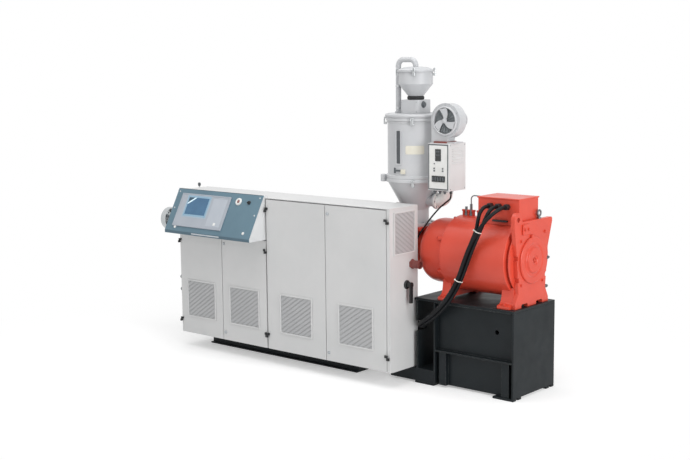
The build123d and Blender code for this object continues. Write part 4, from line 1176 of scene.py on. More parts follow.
@dataclass
class Door:
    """One hinged door: a folded pan with a vent, a seal, stiffeners, hinge halves and locks."""

    body: Body
    side: Side
    grille_size: tuple[float, float] = (0.352, 0.328)
    grille_bottom: float = 0.272
    lock_inset: float = 0.026
    lock_margin: float = 0.066
    sheet: float = 0.002
    fold: float = 0.004
    rounding: float = 0.002

    def leaf(self) -> None:
        """Make the door's pan with its vent."""
        name = self.body.value
        low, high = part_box(name)
        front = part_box("cabinet_roof")[0].y
        part = Part().tray((low.x, front, low.z), tuple(high), self.fold, self.sheet, self.rounding)
        part.piece(f"{name}_pan", CABINET_COAT, "cabinet_paint", [name], self.body)
        centre = middle_of(name, y=front, z=self.grille_bottom + self.grille_size[1] / 2)
        Grille().build(f"{name}_vent", centre, X, self.grille_size, 1, self.body)
        self.inside(low, high, front)

    def inside(self, low: Vector, high: Vector, front: float) -> None:
        """Make the seal and the stiffeners on the door's inner face.

        Args:
            low: the door's lowest corner.
            high: the door's highest corner.
            front: y of the door's front.
        """
        name, face = self.body.value, front + self.sheet
        width, height = (high[axis] - low[axis] - 2 * self.fold - 0.012 for axis in (0, 2))
        Part().border(middle_of(name, y=face), -X, Z, (width, height), 0.014, 0.016, 0.004).piece(
            f"{name}_seal", SEAL_RUBBER, "black_rubber", body=self.body
        )
        part = Part()
        for share in (0.22, 0.78):
            x = low.x + share * (high.x - low.x)
            part.block((x - 0.02, face, low.z + 0.05), (x + 0.02, face + 0.014, high.z - 0.05), 0.003)
        part.piece(f"{name}_stiffeners", ZINC_SHEET, "zinc_sheet", body=self.body)

    def fittings(self) -> None:
        """Make the hinge halves and the locks that the door carries."""
        name = self.body.value
        Rounded(
            f"{name}_fittings", f"{name}_hinge_halves", BLACK_PLASTIC, "black_fittings", 0.0012,
            body=self.body,
        ).build()
        if self.side is Side.LEFT:
            return
        low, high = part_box(name)
        cap = [
            (0, 0), (0, 0.0125), (0.004, 0.0125), (0.0085, 0.0105), (0.0085, 0.0055), (0.0074, 0.005),
            (0.0074, 0),
        ]
        locks = Part()
        for height in (low.z + self.lock_margin, high.z - self.lock_margin):
            seat = Vector((low.x + self.lock_inset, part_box("cabinet_roof")[0].y, height))
            locks.turned(cap, seat, -Y, 0.0006, 32)
            place = Matrix.Translation(seat)
            locks.block((-0.0018, -0.0082, -0.0048), (0.0018, -0.006, 0.0048), 0.0005, turn=place)
        locks.piece(f"{name}_lock_caps", ZINC_SHEET, "zinc_sheet", body=self.body)

    def build(self) -> None:
        """Make the whole door."""
        self.leaf()
        self.fittings()


@dataclass
class Cabinet:
    """The sheet cabinet with its doors, end vent, main switch and conduit."""

    rounding: float = 0.002
    plain: tuple[str, ...] = (
        "cabinet_floor", "cabinet_back", "cabinet_divider", "cabinet_side_walls", "cabinet_posts",
    )

    def shell(self) -> None:
        """Coat the walls and round the roof and the front panel."""
        for name in self.plain:
            coat_node(name, CABINET_COAT)
        coat_node("mounting_plates", ZINC_SHEET)
        Rounded("cabinet_roof", "roof_sheet", CABINET_COAT, "cabinet_paint", self.rounding, 3).build()
        Rounded(
            "cabinet_front_panel", "front_panel_sheet", CABINET_COAT, "cabinet_paint", self.rounding
        ).build()
        Rounded("cabinet_hinges", "hinge_blocks", BLACK_PLASTIC, "black_fittings", 0.0012).build()

    def end_vent(self) -> None:
        """Make the vent on the cabinet's end."""
        low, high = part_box("end_vent_grille")
        centre = middle_of("end_vent_grille", x=low.x)
        Grille().build("end_vent", centre, Y, (high.y - low.y, high.z - low.z), -1, Body.MACHINE)
        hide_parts("end_vent_grille")

    def switch(self) -> None:
        """Make the main switch with its lever."""
        middle = middle_of("switch_base", x=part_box("switch_base")[0].x)
        rosette = [
            (0, 0), (0, 0.034), (0.006, 0.034), (0.010, 0.031), (0.014, 0.029), (0.014, 0.0082),
            (0.0515, 0.008),
            (0.0515, 0),
        ]
        Part().turned(rosette, middle, X, 0.001, 48).piece(
            "switch_rosette", BLACK_PLASTIC, "black_fittings", ["switch_base"]
        )
        Rounded(
            "switch_handle", "switch_lever", BLACK_PLASTIC, "black_fittings", 0.003, body=Body.SWITCH
        ).build()

    def conduit(self) -> None:
        """Make the conduit stub with its lock nut."""
        middle = middle_of("conduit_nipple", x=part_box("conduit_nipple")[0].x)
        stub = [
            (0, 0), (0, 0.030), (0.070, 0.030), (0.072, 0.033), (0.082, 0.033), (0.082, 0.024),
            (0.060, 0.024),
            (0.060, 0),
        ]
        part = Part().rod(middle, X, 0.038, 0.016, 0.002, 6).turned(stub, middle, X, 0.0015, 48)
        part.piece("conduit_stub", BROWN_PIPE, "zinc_sheet", ["conduit_nipple"])

    def couplings(self) -> None:
        """Make the two water couplings on the cabinet's left end."""
        low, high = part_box("water_couplings")
        body = [
            (0.010, 0), (0.010, 0.013), (0.018, 0.013), (0.020, 0.017), (0.030, 0.017), (0.031, 0.0155),
            (0.034, 0.0155), (0.035, 0.017), (0.044, 0.017), (0.046, 0.014), (0.046, 0.008), (0.030, 0.007),
            (0.030, 0),
        ]
        part = Part()
        for height in (low.z + 0.022, high.z - 0.022):
            seat = middle_of("water_couplings", x=high.x, z=height)
            part.rod(seat, -X, 0.022, 0.014, 0.002, 6).turned(body, seat, -X, 0.0006, 40)
        part.piece("coupling_bodies", DULL_STEEL, "bright_steel", ["water_couplings"])

    def back_screws(self) -> None:
        """Set the screws round the cabinet's rear sheet."""
        low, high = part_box("cabinet_back")
        part = Part()
        columns = 6
        for column in range(columns):
            x = low.x + 0.03 + column * (high.x - low.x - 0.06) / (columns - 1)
            for z in (low.z + 0.03, (low.z + high.z) / 2, high.z - 0.03):
                part.screw((x, high.y, z), Y, 0.007)
        part.piece("back_sheet_screws", BRIGHT_STEEL, "bright_steel")

    def build(self) -> None:
        """Make the whole cabinet."""
        self.shell()
        self.end_vent()
        self.switch()
        self.conduit()
        self.couplings()
        self.back_screws()
        for body, side in (
            (Body.DOOR_1, Side.LEFT), (Body.DOOR_2, Side.RIGHT),
            (Body.DOOR_3, Side.LEFT), (Body.DOOR_4, Side.RIGHT),
        ):
            Door(body, side).build()


# Console


@dataclass
class Console:
    """The sloping operator console with its screen and controls."""

    lip: float = 0.026
    plate: float = 0.006
    bezel: tuple[float, float, float, float] = (0.082, 0.038, 0.585, 0.298)
    bezel_height: float = 0.008
    screen: tuple[float, float, float, float] = (0.183, 0.149, 0.242, 0.152)
    controls_from_top: float = 0.075
    button_from_right: float = 0.250
    knob_from_right: float = 0.132

    def face(self) -> tuple[Vector, Vector, Vector]:
        """Return the panel face's lower left corner, its way up and its way out."""
        low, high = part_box("console_housing")
        nose = Vector((low.x, low.y, low.z + self.lip))
        brow = Vector((low.x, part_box("cabinet_roof")[0].y, high.z))
        up = (brow - nose).normalized()
        return nose, up, X.cross(up)

    def size(self) -> tuple[float, float]:
        """Return the face's width and its length up the slope."""
        low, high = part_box("console_housing")
        brow = Vector((low.x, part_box("cabinet_roof")[0].y, high.z))
        return high.x - low.x, (brow - self.face()[0]).length

    def spot(self, right: float, rise: float, lift: float = 0.0) -> Vector:
        """Return a point on the panel, from its lower left corner.

        Args:
            right: distance to the right.
            rise: distance up the slope.
            lift: distance out of the housing's face.

        Returns:
            The point.
        """
        corner, up, out = self.face()
        return corner + X * right + up * rise + out * lift

    def patch(
        self, corners: Sequence[tuple[float, float]], lift: float, thickness: float, rounding: float = 0.0
    ) -> Part:
        """Return a flat piece on the panel from its corners, lift and thickness."""
        out = self.face()[2]
        return Part().prism([self.spot(a, b, lift) for a, b in corners], out * thickness, rounding)

    def field(self, left: float, bottom: float, width: float, height: float) -> list[tuple[float, float]]:
        """Return a rectangle's corners on the panel."""
        right, top = left + width, bottom + height
        return [(left, bottom), (right, bottom), (right, top), (left, top)]

    def build(self) -> None:
        """Make the housing, the panel, the screen and the controls."""
        coat_node("console_housing", CHEEK_COAT)
        Rounded("console_panel", "console_face_sheet", TEAL_COAT, "console_paint", 0.002).build()
        self.display()
        self.picture()
        self.controls()
        self.trim()

    def display(self) -> None:
        """Make the display's bezel with its raised rim, keypad field and port cover."""
        left, bottom, width, height = self.bezel
        top = self.plate + self.bezel_height
        part = Part().node("console_display", 0.003)
        up = self.face()[1]
        middle = self.spot(left + width / 2, bottom + height / 2, top - 0.0002)
        part.border(middle, X, up, (width - 0.004, height - 0.004), 0.009, 0.0026, 0.001)
        part.piece("display_bezel", GREY_PLASTIC, "bezel_grey", ["console_display"])
        keys = self.patch(self.field(left + 0.395, bottom + 0.026, 0.160, 0.242), top, 0.0006)
        keys.piece("keypad_membrane", PALE_GREY_PLASTIC, "bezel_grey")
        port = self.patch(self.field(left + 0.480, bottom + 0.036, 0.024, 0.024), top, 0.003, 0.001)
        port.piece("port_cover", WHITE_PLASTIC, "box_white")

    def picture(self) -> None:
        """Make the lit screen with a plain picture, a glow painted over its edge and the bezel, and a pale
        band of painted reflection.
        """
        left, bottom, width, height = self.screen
        lift = self.plate + self.bezel_height + 0.0002
        # The haze and the edge glow reach past the screen over the bezel: painted glow of the screen's light
        for name, reach, finish, rise in (
            ("screen_haze", 0.027, SCREEN_HAZE, 0.0), ("screen_glow", 0.015, SCREEN_GLOW, 0.0006),
        ):
            edge = self.field(left - reach, bottom - reach, width + 2 * reach, height + 2 * reach)
            self.patch(edge, lift + rise, 0.0005).piece(name, finish, "screen_blue")
        field = self.patch(self.field(left, bottom, width, height), lift + 0.0012, 0.0004)
        field.piece("screen_field", SCREEN_BLUE, "screen_blue", ["console_screen"])
        top = bottom + height
        dark = [(left, top - 0.050), (left + 0.070, top), (left, top)]
        self.patch(dark, lift + 0.0017, 0.0003).piece("screen_corner", SCREEN_DARK, "screen_blue")
        # A pale diagonal band across the corner: a painted reflection on the screen's glass
        band = [
            (left, top - 0.062), (left + 0.016, top - 0.054), (left + 0.092, top), (left + 0.070, top),
            (left, top - 0.050),
        ]
        self.patch(band, lift + 0.0017, 0.0003).piece("screen_reflection_band", SCREEN_REFLECTION, "screen_blue")

    def controls(self) -> None:
        """Make the push button, the selector, the panel locks and the screws."""
        out = self.face()[2]
        wide, long = self.size()
        rise = long - self.controls_from_top
        seat = self.spot(wide - self.button_from_right, rise, self.plate)
        ring = [(0, 0.015), (0, 0.032), (0.005, 0.032), (0.011, 0.028), (0.012, 0.021), (0.009, 0.015)]
        Part().turned(ring, seat, out, 0.001, 48, closed=True).piece(
            "button_ring", WHITE_PLASTIC, "box_white", ["console_controls"]
        )
        cap = [(0, 0), (0, 0.0145), (0.006, 0.0145), (0.009, 0.010), (0.010, 0)]
        Part().turned(cap, seat, out, 0.001, 40).piece("button_cap", RED_BUTTON, "black_fittings")
        knob = self.spot(wide - self.knob_from_right, rise, self.plate)
        grip = [
            (0, 0), (0, 0.017), (0.004, 0.017), (0.006, 0.0125), (0.014, 0.0115), (0.015, 0.009), (0.015, 0),
        ]
        selector = Part().turned(grip, knob, out, 0.0008, 40)
        bar = facing(knob + out * 0.015, out) @ Matrix.Rotation(radians(35), 4, "Z")
        selector.block((-0.011, -0.0035, -0.001), (0.011, 0.0035, 0.005), 0.001, turn=bar)
        selector.piece("selector_knob", BLACK_PLASTIC, "black_fittings")
        lock = [(0, 0), (0, 0.0125), (0.004, 0.0125), (0.007, 0.009), (0.007, 0)]
        locks = Part()
        for right, up in ((0.118, 0.030), (wide - 0.085, 0.040)):
            locks.turned(lock, self.spot(right, up, self.plate), out, 0.001, 32)
        locks.piece("panel_locks", WHITE_PLASTIC, "box_white")
        screws = Part()
        edge = wide - 0.030
        for right, up in ((0.030, long - 0.030), (edge, long - 0.028), (edge, 0.20), (0.030, 0.20)):
            screws.screw(self.spot(right, up, self.plate), out, 0.007)
        screws.piece("panel_screws", BRIGHT_STEEL, "zinc_sheet")

    def trim(self) -> None:
        """Make the lip's darker teal skin of painted shade with its bare strip, and the seal along the
        panel's upper edge.
        """
        low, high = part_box("console_panel")
        wide, long = self.size()
        place = Matrix.Translation(low)
        far = (high.x - low.x - 0.001, 0.0006, self.lip - 0.003)
        # A thin darker teal skin on the lip's front face: painted shade
        paint = Part().block((0.001, -0.0004, 0.001), far, 0.0003, turn=place)
        paint.piece("lip_painted_shade", LIP_SHADE_COAT, "console_paint")
        strip = Part().block((0.330, -0.0012, 0.009), (0.660, 0.0004, 0.019), 0.0004, turn=place)
        strip.piece("lip_strip", ANODISED_STRIP, "zinc_sheet")
        seal = self.patch(self.field(0.006, long - 0.004, wide - 0.012, 0.003), self.plate, 0.0012, 0.0004)
        seal.piece("panel_top_seal", DARK_GREY_PLASTIC, "black_fittings")


# Bed, plinth and drive


@dataclass
class Plinth:
    """The dark bed and the welded plinth under the drive."""

    rounding: float = 0.003
    weld: float = 0.005
    plate: float = 0.015
    plate_inset: float = 0.015
    notch_heights: tuple[float, float] = (0.406, 0.486)
    notch_end: float = 0.034
    web_y: float = 0.200
    web_top: float = 0.600

    def plates(self) -> None:
        """Round and coat the plates."""
        for node, name, slot in (
            ("plinth_top_plate", "plinth_top_sheet", "plinth_paint"),
            ("plinth_end_plates", "plinth_end_sheets", "plinth_paint"),
            ("plinth_core", "plinth_web", "plinth_paint"),
            ("plinth_sill", "plinth_foot_rail", "plinth_paint"),
            ("plinth_feet", "plinth_pads", "plinth_paint"),
            ("bed", "bed_rails", "bed_paint"),
            ("barrel_pedestals", "barrel_stands", "bed_paint"),
        ):
            Rounded(node, name, BLACK_ENAMEL, slot, self.rounding).build()

    def side_plate(self) -> None:
        """Stand the plate and the web beside the cabinet on the foot rail, with a notch for the cables."""
        core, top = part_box("plinth_core"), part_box("plinth_top_plate")[0]
        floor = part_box("plinth_sill")[1].z
        bottom, ceiling = self.notch_heights
        left, right = top.x + self.plate_inset, top.x + self.plate_inset + self.plate
        part = Part()
        for low_y, high_y, low_z, high_z in (
            (core[0].y, core[1].y, floor, bottom), (core[0].y, core[1].y, ceiling, top.z),
            (self.notch_end, core[1].y, bottom, ceiling),
        ):
            part.block((left, low_y, low_z), (right, high_y, high_z))
        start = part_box("plinth_sill")[0].x + self.plate
        part.block((start, self.web_y, floor), (left, self.web_y + self.plate, self.web_top))
        part.piece("plinth_side_plate", BLACK_ENAMEL, "plinth_paint")

    def welds(self) -> None:
        """Lay the weld beads under the plinth's top plate."""
        low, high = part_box("plinth_core")
        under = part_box("plinth_top_plate")[0].z
        part = Part()
        for y in (low.y, high.y):
            part.rod((low.x + 0.01, y, under), X, self.weld, high.x - low.x - 0.02, sides=10)
        part.piece("plinth_weld_beads", BLACK_ENAMEL, "plinth_paint")

    def build(self) -> None:
        """Make the bed and the plinth."""
        self.plates()
        self.side_plate()
        self.welds()


@dataclass
class Drive:
    """The drum motor with its shields, feet and terminal box."""

    steps: int = 128
    bell: float = 0.2465
    drum: float = 0.2835
    step: float = 0.248
    length: float = 0.840
    front_foot: float = 0.074
    rear_foot: float = 0.104

    def axis_point(self) -> Vector:
        """Return the point on the screw's axis where the motor starts."""
        return middle_of("motor_body", x=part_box("motor_body")[0].x)

    def around_axis(self, along: float, radius: float, angle: float) -> Vector:
        """Return a point round the axis.

        Args:
            along: distance from the motor's start.
            radius: distance from the axis.
            angle: angle in radians from the rear, over the top.

        Returns:
            The point.
        """
        return self.axis_point() + X * along + circle_way(X, angle) * radius

    def shell(self) -> None:
        """Make the motor's bell and drum, with the lugs where they are bolted together."""
        bell, drum, step, length = self.bell, self.drum, self.step, self.length
        profile = [
            (0, 0), (0, bell - 0.050), (0.008, bell - 0.034), (0.024, bell - 0.018), (0.048, bell - 0.006),
            (0.080, bell), (step - 0.034, bell), (step - 0.030, bell + 0.004), (step - 0.022, bell + 0.004),
            (step - 0.016, drum - 0.022), (step - 0.002, drum), (length - 0.034, drum),
            (length - 0.030, drum - 0.006),
            (length - 0.026, drum - 0.046), (length - 0.008, drum - 0.046), (length - 0.006, drum - 0.016),
            (length, drum - 0.016), (length, 0),
        ]
        Part().turned(profile, self.axis_point(), X, 0.0, self.steps).piece(
            "motor_drum", RED_ENAMEL, "motor_paint", ["motor_body"], sharp=28.0
        )
        lugs = Part()
        for angle in around(6, 30):
            place = Matrix.Translation(self.around_axis(step - 0.046, bell, angle))
            turn = place @ Matrix.Rotation(angle, 4, "X")
            lugs.block((-0.016, -0.006, -0.017), (0.030, 0.016, 0.017), 0.005, 3, turn)
            lugs.bolt(self.around_axis(step - 0.062, bell + 0.006, angle), -X, 0.018)
        lugs.piece("bell_lugs", RED_ENAMEL, "motor_paint")

    def shield(self) -> None:
        """Make the end shield, its bearing cover and its bolts."""
        Rounded("motor_end_shield", "end_casting", RED_ENAMEL, "motor_paint", 0.006, 3).build()
        centre = middle_of("motor_bearing_cover", x=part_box("motor_bearing_cover")[0].x)
        cap = [
            (0, 0), (0, 0.172), (0.009, 0.172), (0.014, 0.166), (0.014, 0.128), (0.009, 0.118),
            (0.009, 0.104),
            (0.014, 0.096), (0.022, 0.092), (0.026, 0.087), (0.026, 0.040), (0.020, 0.034), (0.018, 0.020),
            (0.010, 0.018), (0.010, 0),
        ]
        Part().turned(cap, centre, X, 0.002, 112).piece(
            "bearing_cap", RED_ENAMEL, "motor_paint", ["motor_bearing_cover"]
        )
        bolts = Part()
        bolts.bolt(centre + X * 0.010, X, 0.020)
        for side, rise in ((-0.150, 0.150), (0.170, 0.190), (-0.145, -0.170), (0.145, -0.170)):
            bolts.bolt(centre + Vector((0, side, rise)), X, 0.020)
        bolts.piece("shield_bolts", RED_ENAMEL, "motor_paint")
        self.shield_fittings(centre)

    def shield_fittings(self, centre: Vector) -> None:
        """Make the cast pad, the side studs and the lifting eye of the end shield.

        Args:
            centre: middle of the bearing on the shield's face.
        """
        place = Matrix.Translation(centre)
        pad = Part().block((-0.001, -0.142, 0.196), (0.013, -0.052, 0.272), 0.006, 3, place)
        pad.rod(centre + Vector((0, -0.016, 0.172)), X, 0.017, 0.016, 0.004)
        pad.bolt(centre + Vector((0.013, -0.120, 0.234)), X, 0.020)
        pad.bolt(centre + Vector((0.013, -0.074, 0.234)), X, 0.020)
        pad.piece("shield_pad", RED_ENAMEL, "motor_paint")
        studs = Part()
        for rise, side in ((-0.013, 0.200), (-0.226, 0.180)):
            start = centre + Vector((-0.016, side, rise))
            studs.rod(start, Y, 0.009, 0.056, 0.002, 20)
            studs.rod(start + Y * 0.030, Y, 0.014, 0.014, 0.002, 6)
        studs.piece("shield_studs", DULL_STEEL, "machine_steel")
        eye = centre + Vector((-0.016, 0.114, 0.330))
        ring = Part().rod(eye - Z * 0.042, Z, 0.014, 0.012, 0.002, 20)
        ring.rod(eye - Z * 0.032, Z, 0.008, 0.016, 0.0, 16)
        circle = [(0.007 * cos(turn), 0.021 + 0.007 * sin(turn)) for turn in around(14)]
        ring.turned(circle, eye, X, 0.0, 40, closed=True)
        ring.piece("lifting_eye", DULL_STEEL, "machine_steel")

    def feet(self) -> None:
        """Make the motor's flared feet with their bolts."""
        low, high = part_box("motor_feet")
        middle, half = (low.y + high.y) / 2, (high.y - low.y) / 2
        flare = [
            (half - 0.110, 0.0), (half, 0.0), (half, 0.022), (half - 0.034, 0.032), (half - 0.048, 0.046),
            (half - 0.057, 0.068), (half - 0.063, 0.100), (half - 0.068, 0.150),
        ]
        arch = [(0.130 - half, 0.018), (half - 0.130, 0.018)]
        profile = arch + flare + [(-side, rise) for side, rise in reversed(flare)]
        castings, bolts = Part(), Part()
        for start, length in ((low.x, self.front_foot), (high.x - self.rear_foot, self.rear_foot)):
            outline = [Vector((start, middle + side, low.z + rise)) for side, rise in profile]
            castings.prism(outline, X * length, 0.003)
            for side in (-1, 1):
                bolts.bolt((start + length / 2, middle + side * (half - 0.018), low.z + 0.025), Z, 0.024)
        castings.piece("motor_foot_castings", RED_ENAMEL, "motor_paint", ["motor_feet"])
        bolts.piece("motor_foot_bolts", RED_ENAMEL, "motor_paint")

    def terminal_box(self) -> None:
        """Make the terminal box with its cable clamp and its glands."""
        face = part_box("terminal_box")[0].y + 0.006
        Rounded("terminal_box", "terminal_housing", RED_ENAMEL, "motor_paint", 0.003, 3).build()
        clamp = Part().block((1.716, face - 0.022, 1.278), (1.842, face, 1.292), 0.003)
        clamp.screw((1.832, face - 0.022, 1.285), -Y, 0.005)
        clamp.piece("cable_clamp_bar", BLACK_PLASTIC, "black_fittings")
        Rounded("cable_glands", "gland_nuts", BLACK_PLASTIC, "gland_plastic", 0.002).build()

    def top_fittings(self) -> None:
        """Make the studs and the oil line on the drum's top, beside the terminal box."""
        top = self.axis_point() + Z * (self.drum - 0.004)
        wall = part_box("terminal_box")[0].x + 0.006
        studs = Part()
        for along in (0.268, 0.312, 0.356, 0.400, 0.444):
            studs.rod(top + X * along, Z, 0.011, 0.034, 0.002, 20)
            studs.rod(top + X * along + Z * 0.034, Z, 0.016, 0.014, 0.002, 6)
        studs.piece("drum_top_studs", RED_ENAMEL, "motor_paint")
        line = Part()
        for along, height in ((0.290, 0.070), (0.334, 0.092)):
            foot = top + X * along
            line.rod(foot, Z, 0.015, 0.020, 0.002, 6)
            line.rod(foot + Z * 0.020, Z, 0.010, height - 0.020, 0.002, 20)
        reach = wall - (top.x + 0.334)
        moves = [(0.036, None, 0), (0.030, X, pi / 2), (reach - 0.030, None, 0)]
        line.pipe(top + X * 0.334 + Z * 0.090, Z, 0.0045, moves, 16)
        line.rod((wall, top.y, top.z + 0.156), -X, 0.010, 0.016, 0.001, 6)
        line.piece("oil_line", DULL_STEEL, "machine_steel")

    def build(self) -> None:
        """Make the whole drive."""
        self.shell()
        self.shield()
        self.feet()
        self.terminal_box()
        self.top_fittings()


@dataclass
class BarrelLine:
    """The feed section, the barrel, its heaters and the die flange."""

    heater: float = 0.118
    zone: float = 0.350
    pitch: float = 0.410
    sensor_x: float = -1.567
    bolt_circle: float = 0.086

    def axis_point(self) -> Vector:
        """Return the point on the screw's axis at the machine's middle."""
        return middle_of("barrel_flange", x=0.0)

    def heaters(self) -> None:
        """Make the heaters with their clamp bands and terminal covers."""
        low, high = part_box("barrel_heaters")
        Rounded("barrel_heaters", "heater_covers", ROLLED_STEEL, "heater_cover", 0.004).build()
        axis, radius = self.axis_point(), self.heater
        inner, outer = radius - 0.001, radius + 0.0018
        hoop = [(0, inner), (0.020, inner), (0.020, outer), (0, outer)]
        bands, caps = Part(), Part()
        count = round((high.x - low.x + self.pitch - self.zone) / self.pitch)
        for zone in range(count):
            start = low.x + zone * self.pitch
            for along in (0.034, self.zone / 2 - 0.010, self.zone - 0.054):
                place = axis + X * (start + along)
                bands.turned(hoop, place, X, 0.0005, 96, closed=True)
                for lug in (-0.014, 0.014):
                    corner = Matrix.Translation(place + Vector((0, lug, -radius)))
                    bands.block((0, -0.003, -0.022), (0.020, 0.003, 0.002), 0.001, turn=corner)
                bands.rod(place + Vector((0.010, -0.024, -radius - 0.012)), Y, 0.004, 0.048, 0.0, 12)
            centre = axis + X * (start + self.zone / 2) + Y * (radius - 0.004)
            caps.block((-0.062, 0, -0.030), (0.062, 0.040, 0.030), 0.004, 3, Matrix.Translation(centre))
            for along in (-0.050, 0.050):
                caps.screw(centre + Vector((along, 0.040, 0)), Y, 0.005)
        bands.piece("heater_bands", BRIGHT_STEEL, "clamp_steel")
        caps.piece("heater_terminal_covers", ZINC_SHEET, "zinc_sheet")

    def sensors(self) -> None:
        """Make the melt sensor over the last heater and the probe on the feed section."""
        axis = self.axis_point()
        foot = axis + X * self.sensor_x + Z * (self.heater - 0.002)
        stem = Part().rod(foot, Z, 0.013, 0.020, 0.002, 6)
        stem.rod(foot + Z * 0.020, Z, 0.007, 0.194, 0.0, 20)
        stem.piece("melt_sensor_stem", BRIGHT_STEEL, "machine_steel")
        head = [(0.212, 0), (0.212, 0.010), (0.217, 0.013), (0.236, 0.013), (0.242, 0.010), (0.244, 0)]
        Part().turned(head, foot, Z, 0.002, 32).piece(
            "melt_sensor_head", DARK_GREY_PLASTIC, "black_fittings"
        )
        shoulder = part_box("feed_section")[0].x
        base = Vector((shoulder + 0.031, axis.y, axis.z + 0.148))
        probe = [
            (0, 0), (0, 0.016), (0.014, 0.016), (0.016, 0.009), (0.160, 0.009), (0.162, 0.014),
            (0.188, 0.014),
            (0.190, 0),
        ]
        Part().turned(probe, base, Z, 0.001, 24).piece("feed_probe", WHITE_PLASTIC, "box_white")

    def build(self) -> None:
        """Make the barrel line."""
        Rounded("feed_section", "feed_casting", RED_ENAMEL, "feed_iron", 0.004).build()
        coat_node("barrel", TURNED_STEEL)
        coat_node("barrel_flange", TURNED_STEEL)
        bolts = Part()
        face = self.axis_point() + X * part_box("barrel_flange")[1].x
        for angle in around(8, 22.5):
            bolts.bolt(face + circle_way(X, angle) * self.bolt_circle, X, 0.024)
        bolts.piece("flange_bolts", DULL_STEEL, "machine_steel")
        self.heaters()
        self.sensors()


# Dryer and loader


@dataclass
class Dryer:
    """The hopper dryer with its lid, window, plate and latches."""

    steps: int = 112
    radius: float = 0.218
    ring: float = 0.232
    window: tuple[float, float] = (0.056, 0.270)
    window_bar: float = 0.010
    window_proud: float = 0.006
    window_drop: float = 0.195

    def axis_point(self, height: float = 0.0) -> Vector:
        """Return the point on the dryer's axis at a height above the floor."""
        return middle_of("dryer_lid", z=height)

    def shell(self) -> None:
        """Make the drum with its flange ring, its hinge lug and the window's frame."""
        low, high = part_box("dryer_drum")
        base, top, radius, ring = low.z, high.z, self.radius, self.ring
        foot = self.axis_point()
        profile = [
            (base, 0), (base, ring - 0.004), (base + 0.003, ring), (base + 0.023, ring),
            (base + 0.026, ring - 0.003), (base + 0.031, ring - 0.003), (base + 0.034, ring),
            (base + 0.053, ring),
            (base + 0.056, ring - 0.004), (base + 0.057, radius + 0.001), (base + 0.060, radius),
            (top - 0.019, radius), (top - 0.015, radius + 0.004), (top, radius + 0.004), (top, 0),
        ]
        part = Part().turned(profile, foot, Z, 0.0015, self.steps)
        middle = self.axis_point(top - self.window_drop) - Y * (radius - 0.004)
        part.border(middle, X, Z, self.window, self.window_bar, self.window_proud + 0.004, 0.002)
        lug = self.axis_point(base) + circle_way(Z, radians(220)) * 0.250
        part.rod(lug, Z, 0.024, 0.056, 0.005)
        part.piece("dryer_shell", DRYER_ENAMEL, "dryer_paint", ["dryer_drum"])
        half = Vector((self.window[0] / 2 - self.window_bar, 0, self.window[1] / 2 - self.window_bar))
        pane = middle - Y * 0.0045
        glass = Part().block(pane - half - Y * 0.001, pane + half)
        glass.piece("sight_glass", SMOKED_GLASS, "dryer_paint")

    def fittings(self) -> None:
        """Make the bare plate, the clean-out latch and the throat's bolts."""
        radius, axis = self.radius, self.axis_point()
        plate = Part().band(axis, Z, (radius - 0.001, radius + 0.0014), (1.738, 1.803), -55, 38, 0.0006)
        plate.piece("bare_plate", CREAM_PLATE, "dryer_paint")
        rivets = Part()
        for angle in (-73, -37):
            for height in (1.743, 1.798):
                out = circle_way(Z, radians(angle))
                rivets.screw(self.axis_point(height) + out * (radius + 0.0012), out, 0.0025)
        rivets.piece("plate_rivets", BRIGHT_STEEL, "clamp_steel")
        latch = Part().band(axis, Z, (radius - 0.002, radius + 0.010), (1.605, 1.618), -91, 16, 0.002)
        latch.band(axis, Z, (radius - 0.002, radius + 0.006), (1.590, 1.632), -100, 4, 0.0015)
        latch.piece("clean_out_bar", DARK_GREY_PLASTIC, "black_fittings")
        clasp = Part().band(axis, Z, (radius - 0.002, radius + 0.014), (1.587, 1.622), -79, 9, 0.002)
        clasp.piece("clean_out_clasp", CREAM_PLATE, "dryer_paint")
        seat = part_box("dryer_cone")[0].z + 0.024
        bolts = Part()
        for angle in around(8, 22.5):
            bolts.bolt(self.axis_point(seat) + circle_way(Z, angle) * 0.128, Z, 0.020)
        bolts.piece("throat_bolts", BRIGHT_STEEL, "clamp_steel")

    def cover(self) -> None:
        """Make the lid with its rolled rim."""
        low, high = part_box("dryer_lid")
        base, top = low.z, high.z
        lid = [
            (base, 0), (base, 0.226), (base + 0.005, 0.231), (base + 0.021, 0.231), (base + 0.026, 0.227),
            (base + 0.029, 0.232), (base + 0.037, 0.238), (top - 0.008, 0.238), (top - 0.002, 0.233),
            (top, 0.222), (top - 0.006, 0.212), (top - 0.006, 0.208), (top, 0.204), (top, 0),
        ]
        Part().turned(lid, self.axis_point(), Z, 0.001, self.steps).piece(
            "dryer_cover", DRYER_ENAMEL, "dryer_paint", ["dryer_lid"]
        )

    def clamps(self) -> None:
        """Make the toggle clamps of both lids and of the drum's ring."""
        quarters = (30, 120, 210, 300)
        places = [("dryer_lid", 0.2385, angle) for angle in quarters]
        places += [("loader_lid", 0.1425, angle) for angle in quarters]
        places.append(("dryer_drum", self.ring + 0.0005, -59))
        brackets, levers = Part(), Part()
        for node, radius, angle in places:
            centre = Matrix.Translation(self.axis_point(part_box(node)[0].z))
            turn = centre @ Matrix.Rotation(radians(angle), 4, "Z") @ Matrix.Translation((radius, 0, 0))
            brackets.block((-0.012, -0.013, -0.030), (0.005, 0.013, -0.010), 0.002, turn=turn)
            brackets.block((-0.006, -0.011, 0.014), (0.009, 0.011, 0.030), 0.003, turn=turn)
            for side in (-0.009, 0.009):
                brackets.rod(turn @ Vector((0.0075, side, -0.022)), Z, 0.002, 0.050, sides=10)
            levers.block((0.003, -0.010, -0.029), (0.012, 0.010, 0.012), 0.003, turn=turn)
        brackets.piece("clamp_brackets", BRIGHT_STEEL, "clamp_steel", ["lid_clamps"])
        levers.piece("clamp_levers", BRIGHT_STEEL, "clamp_steel")

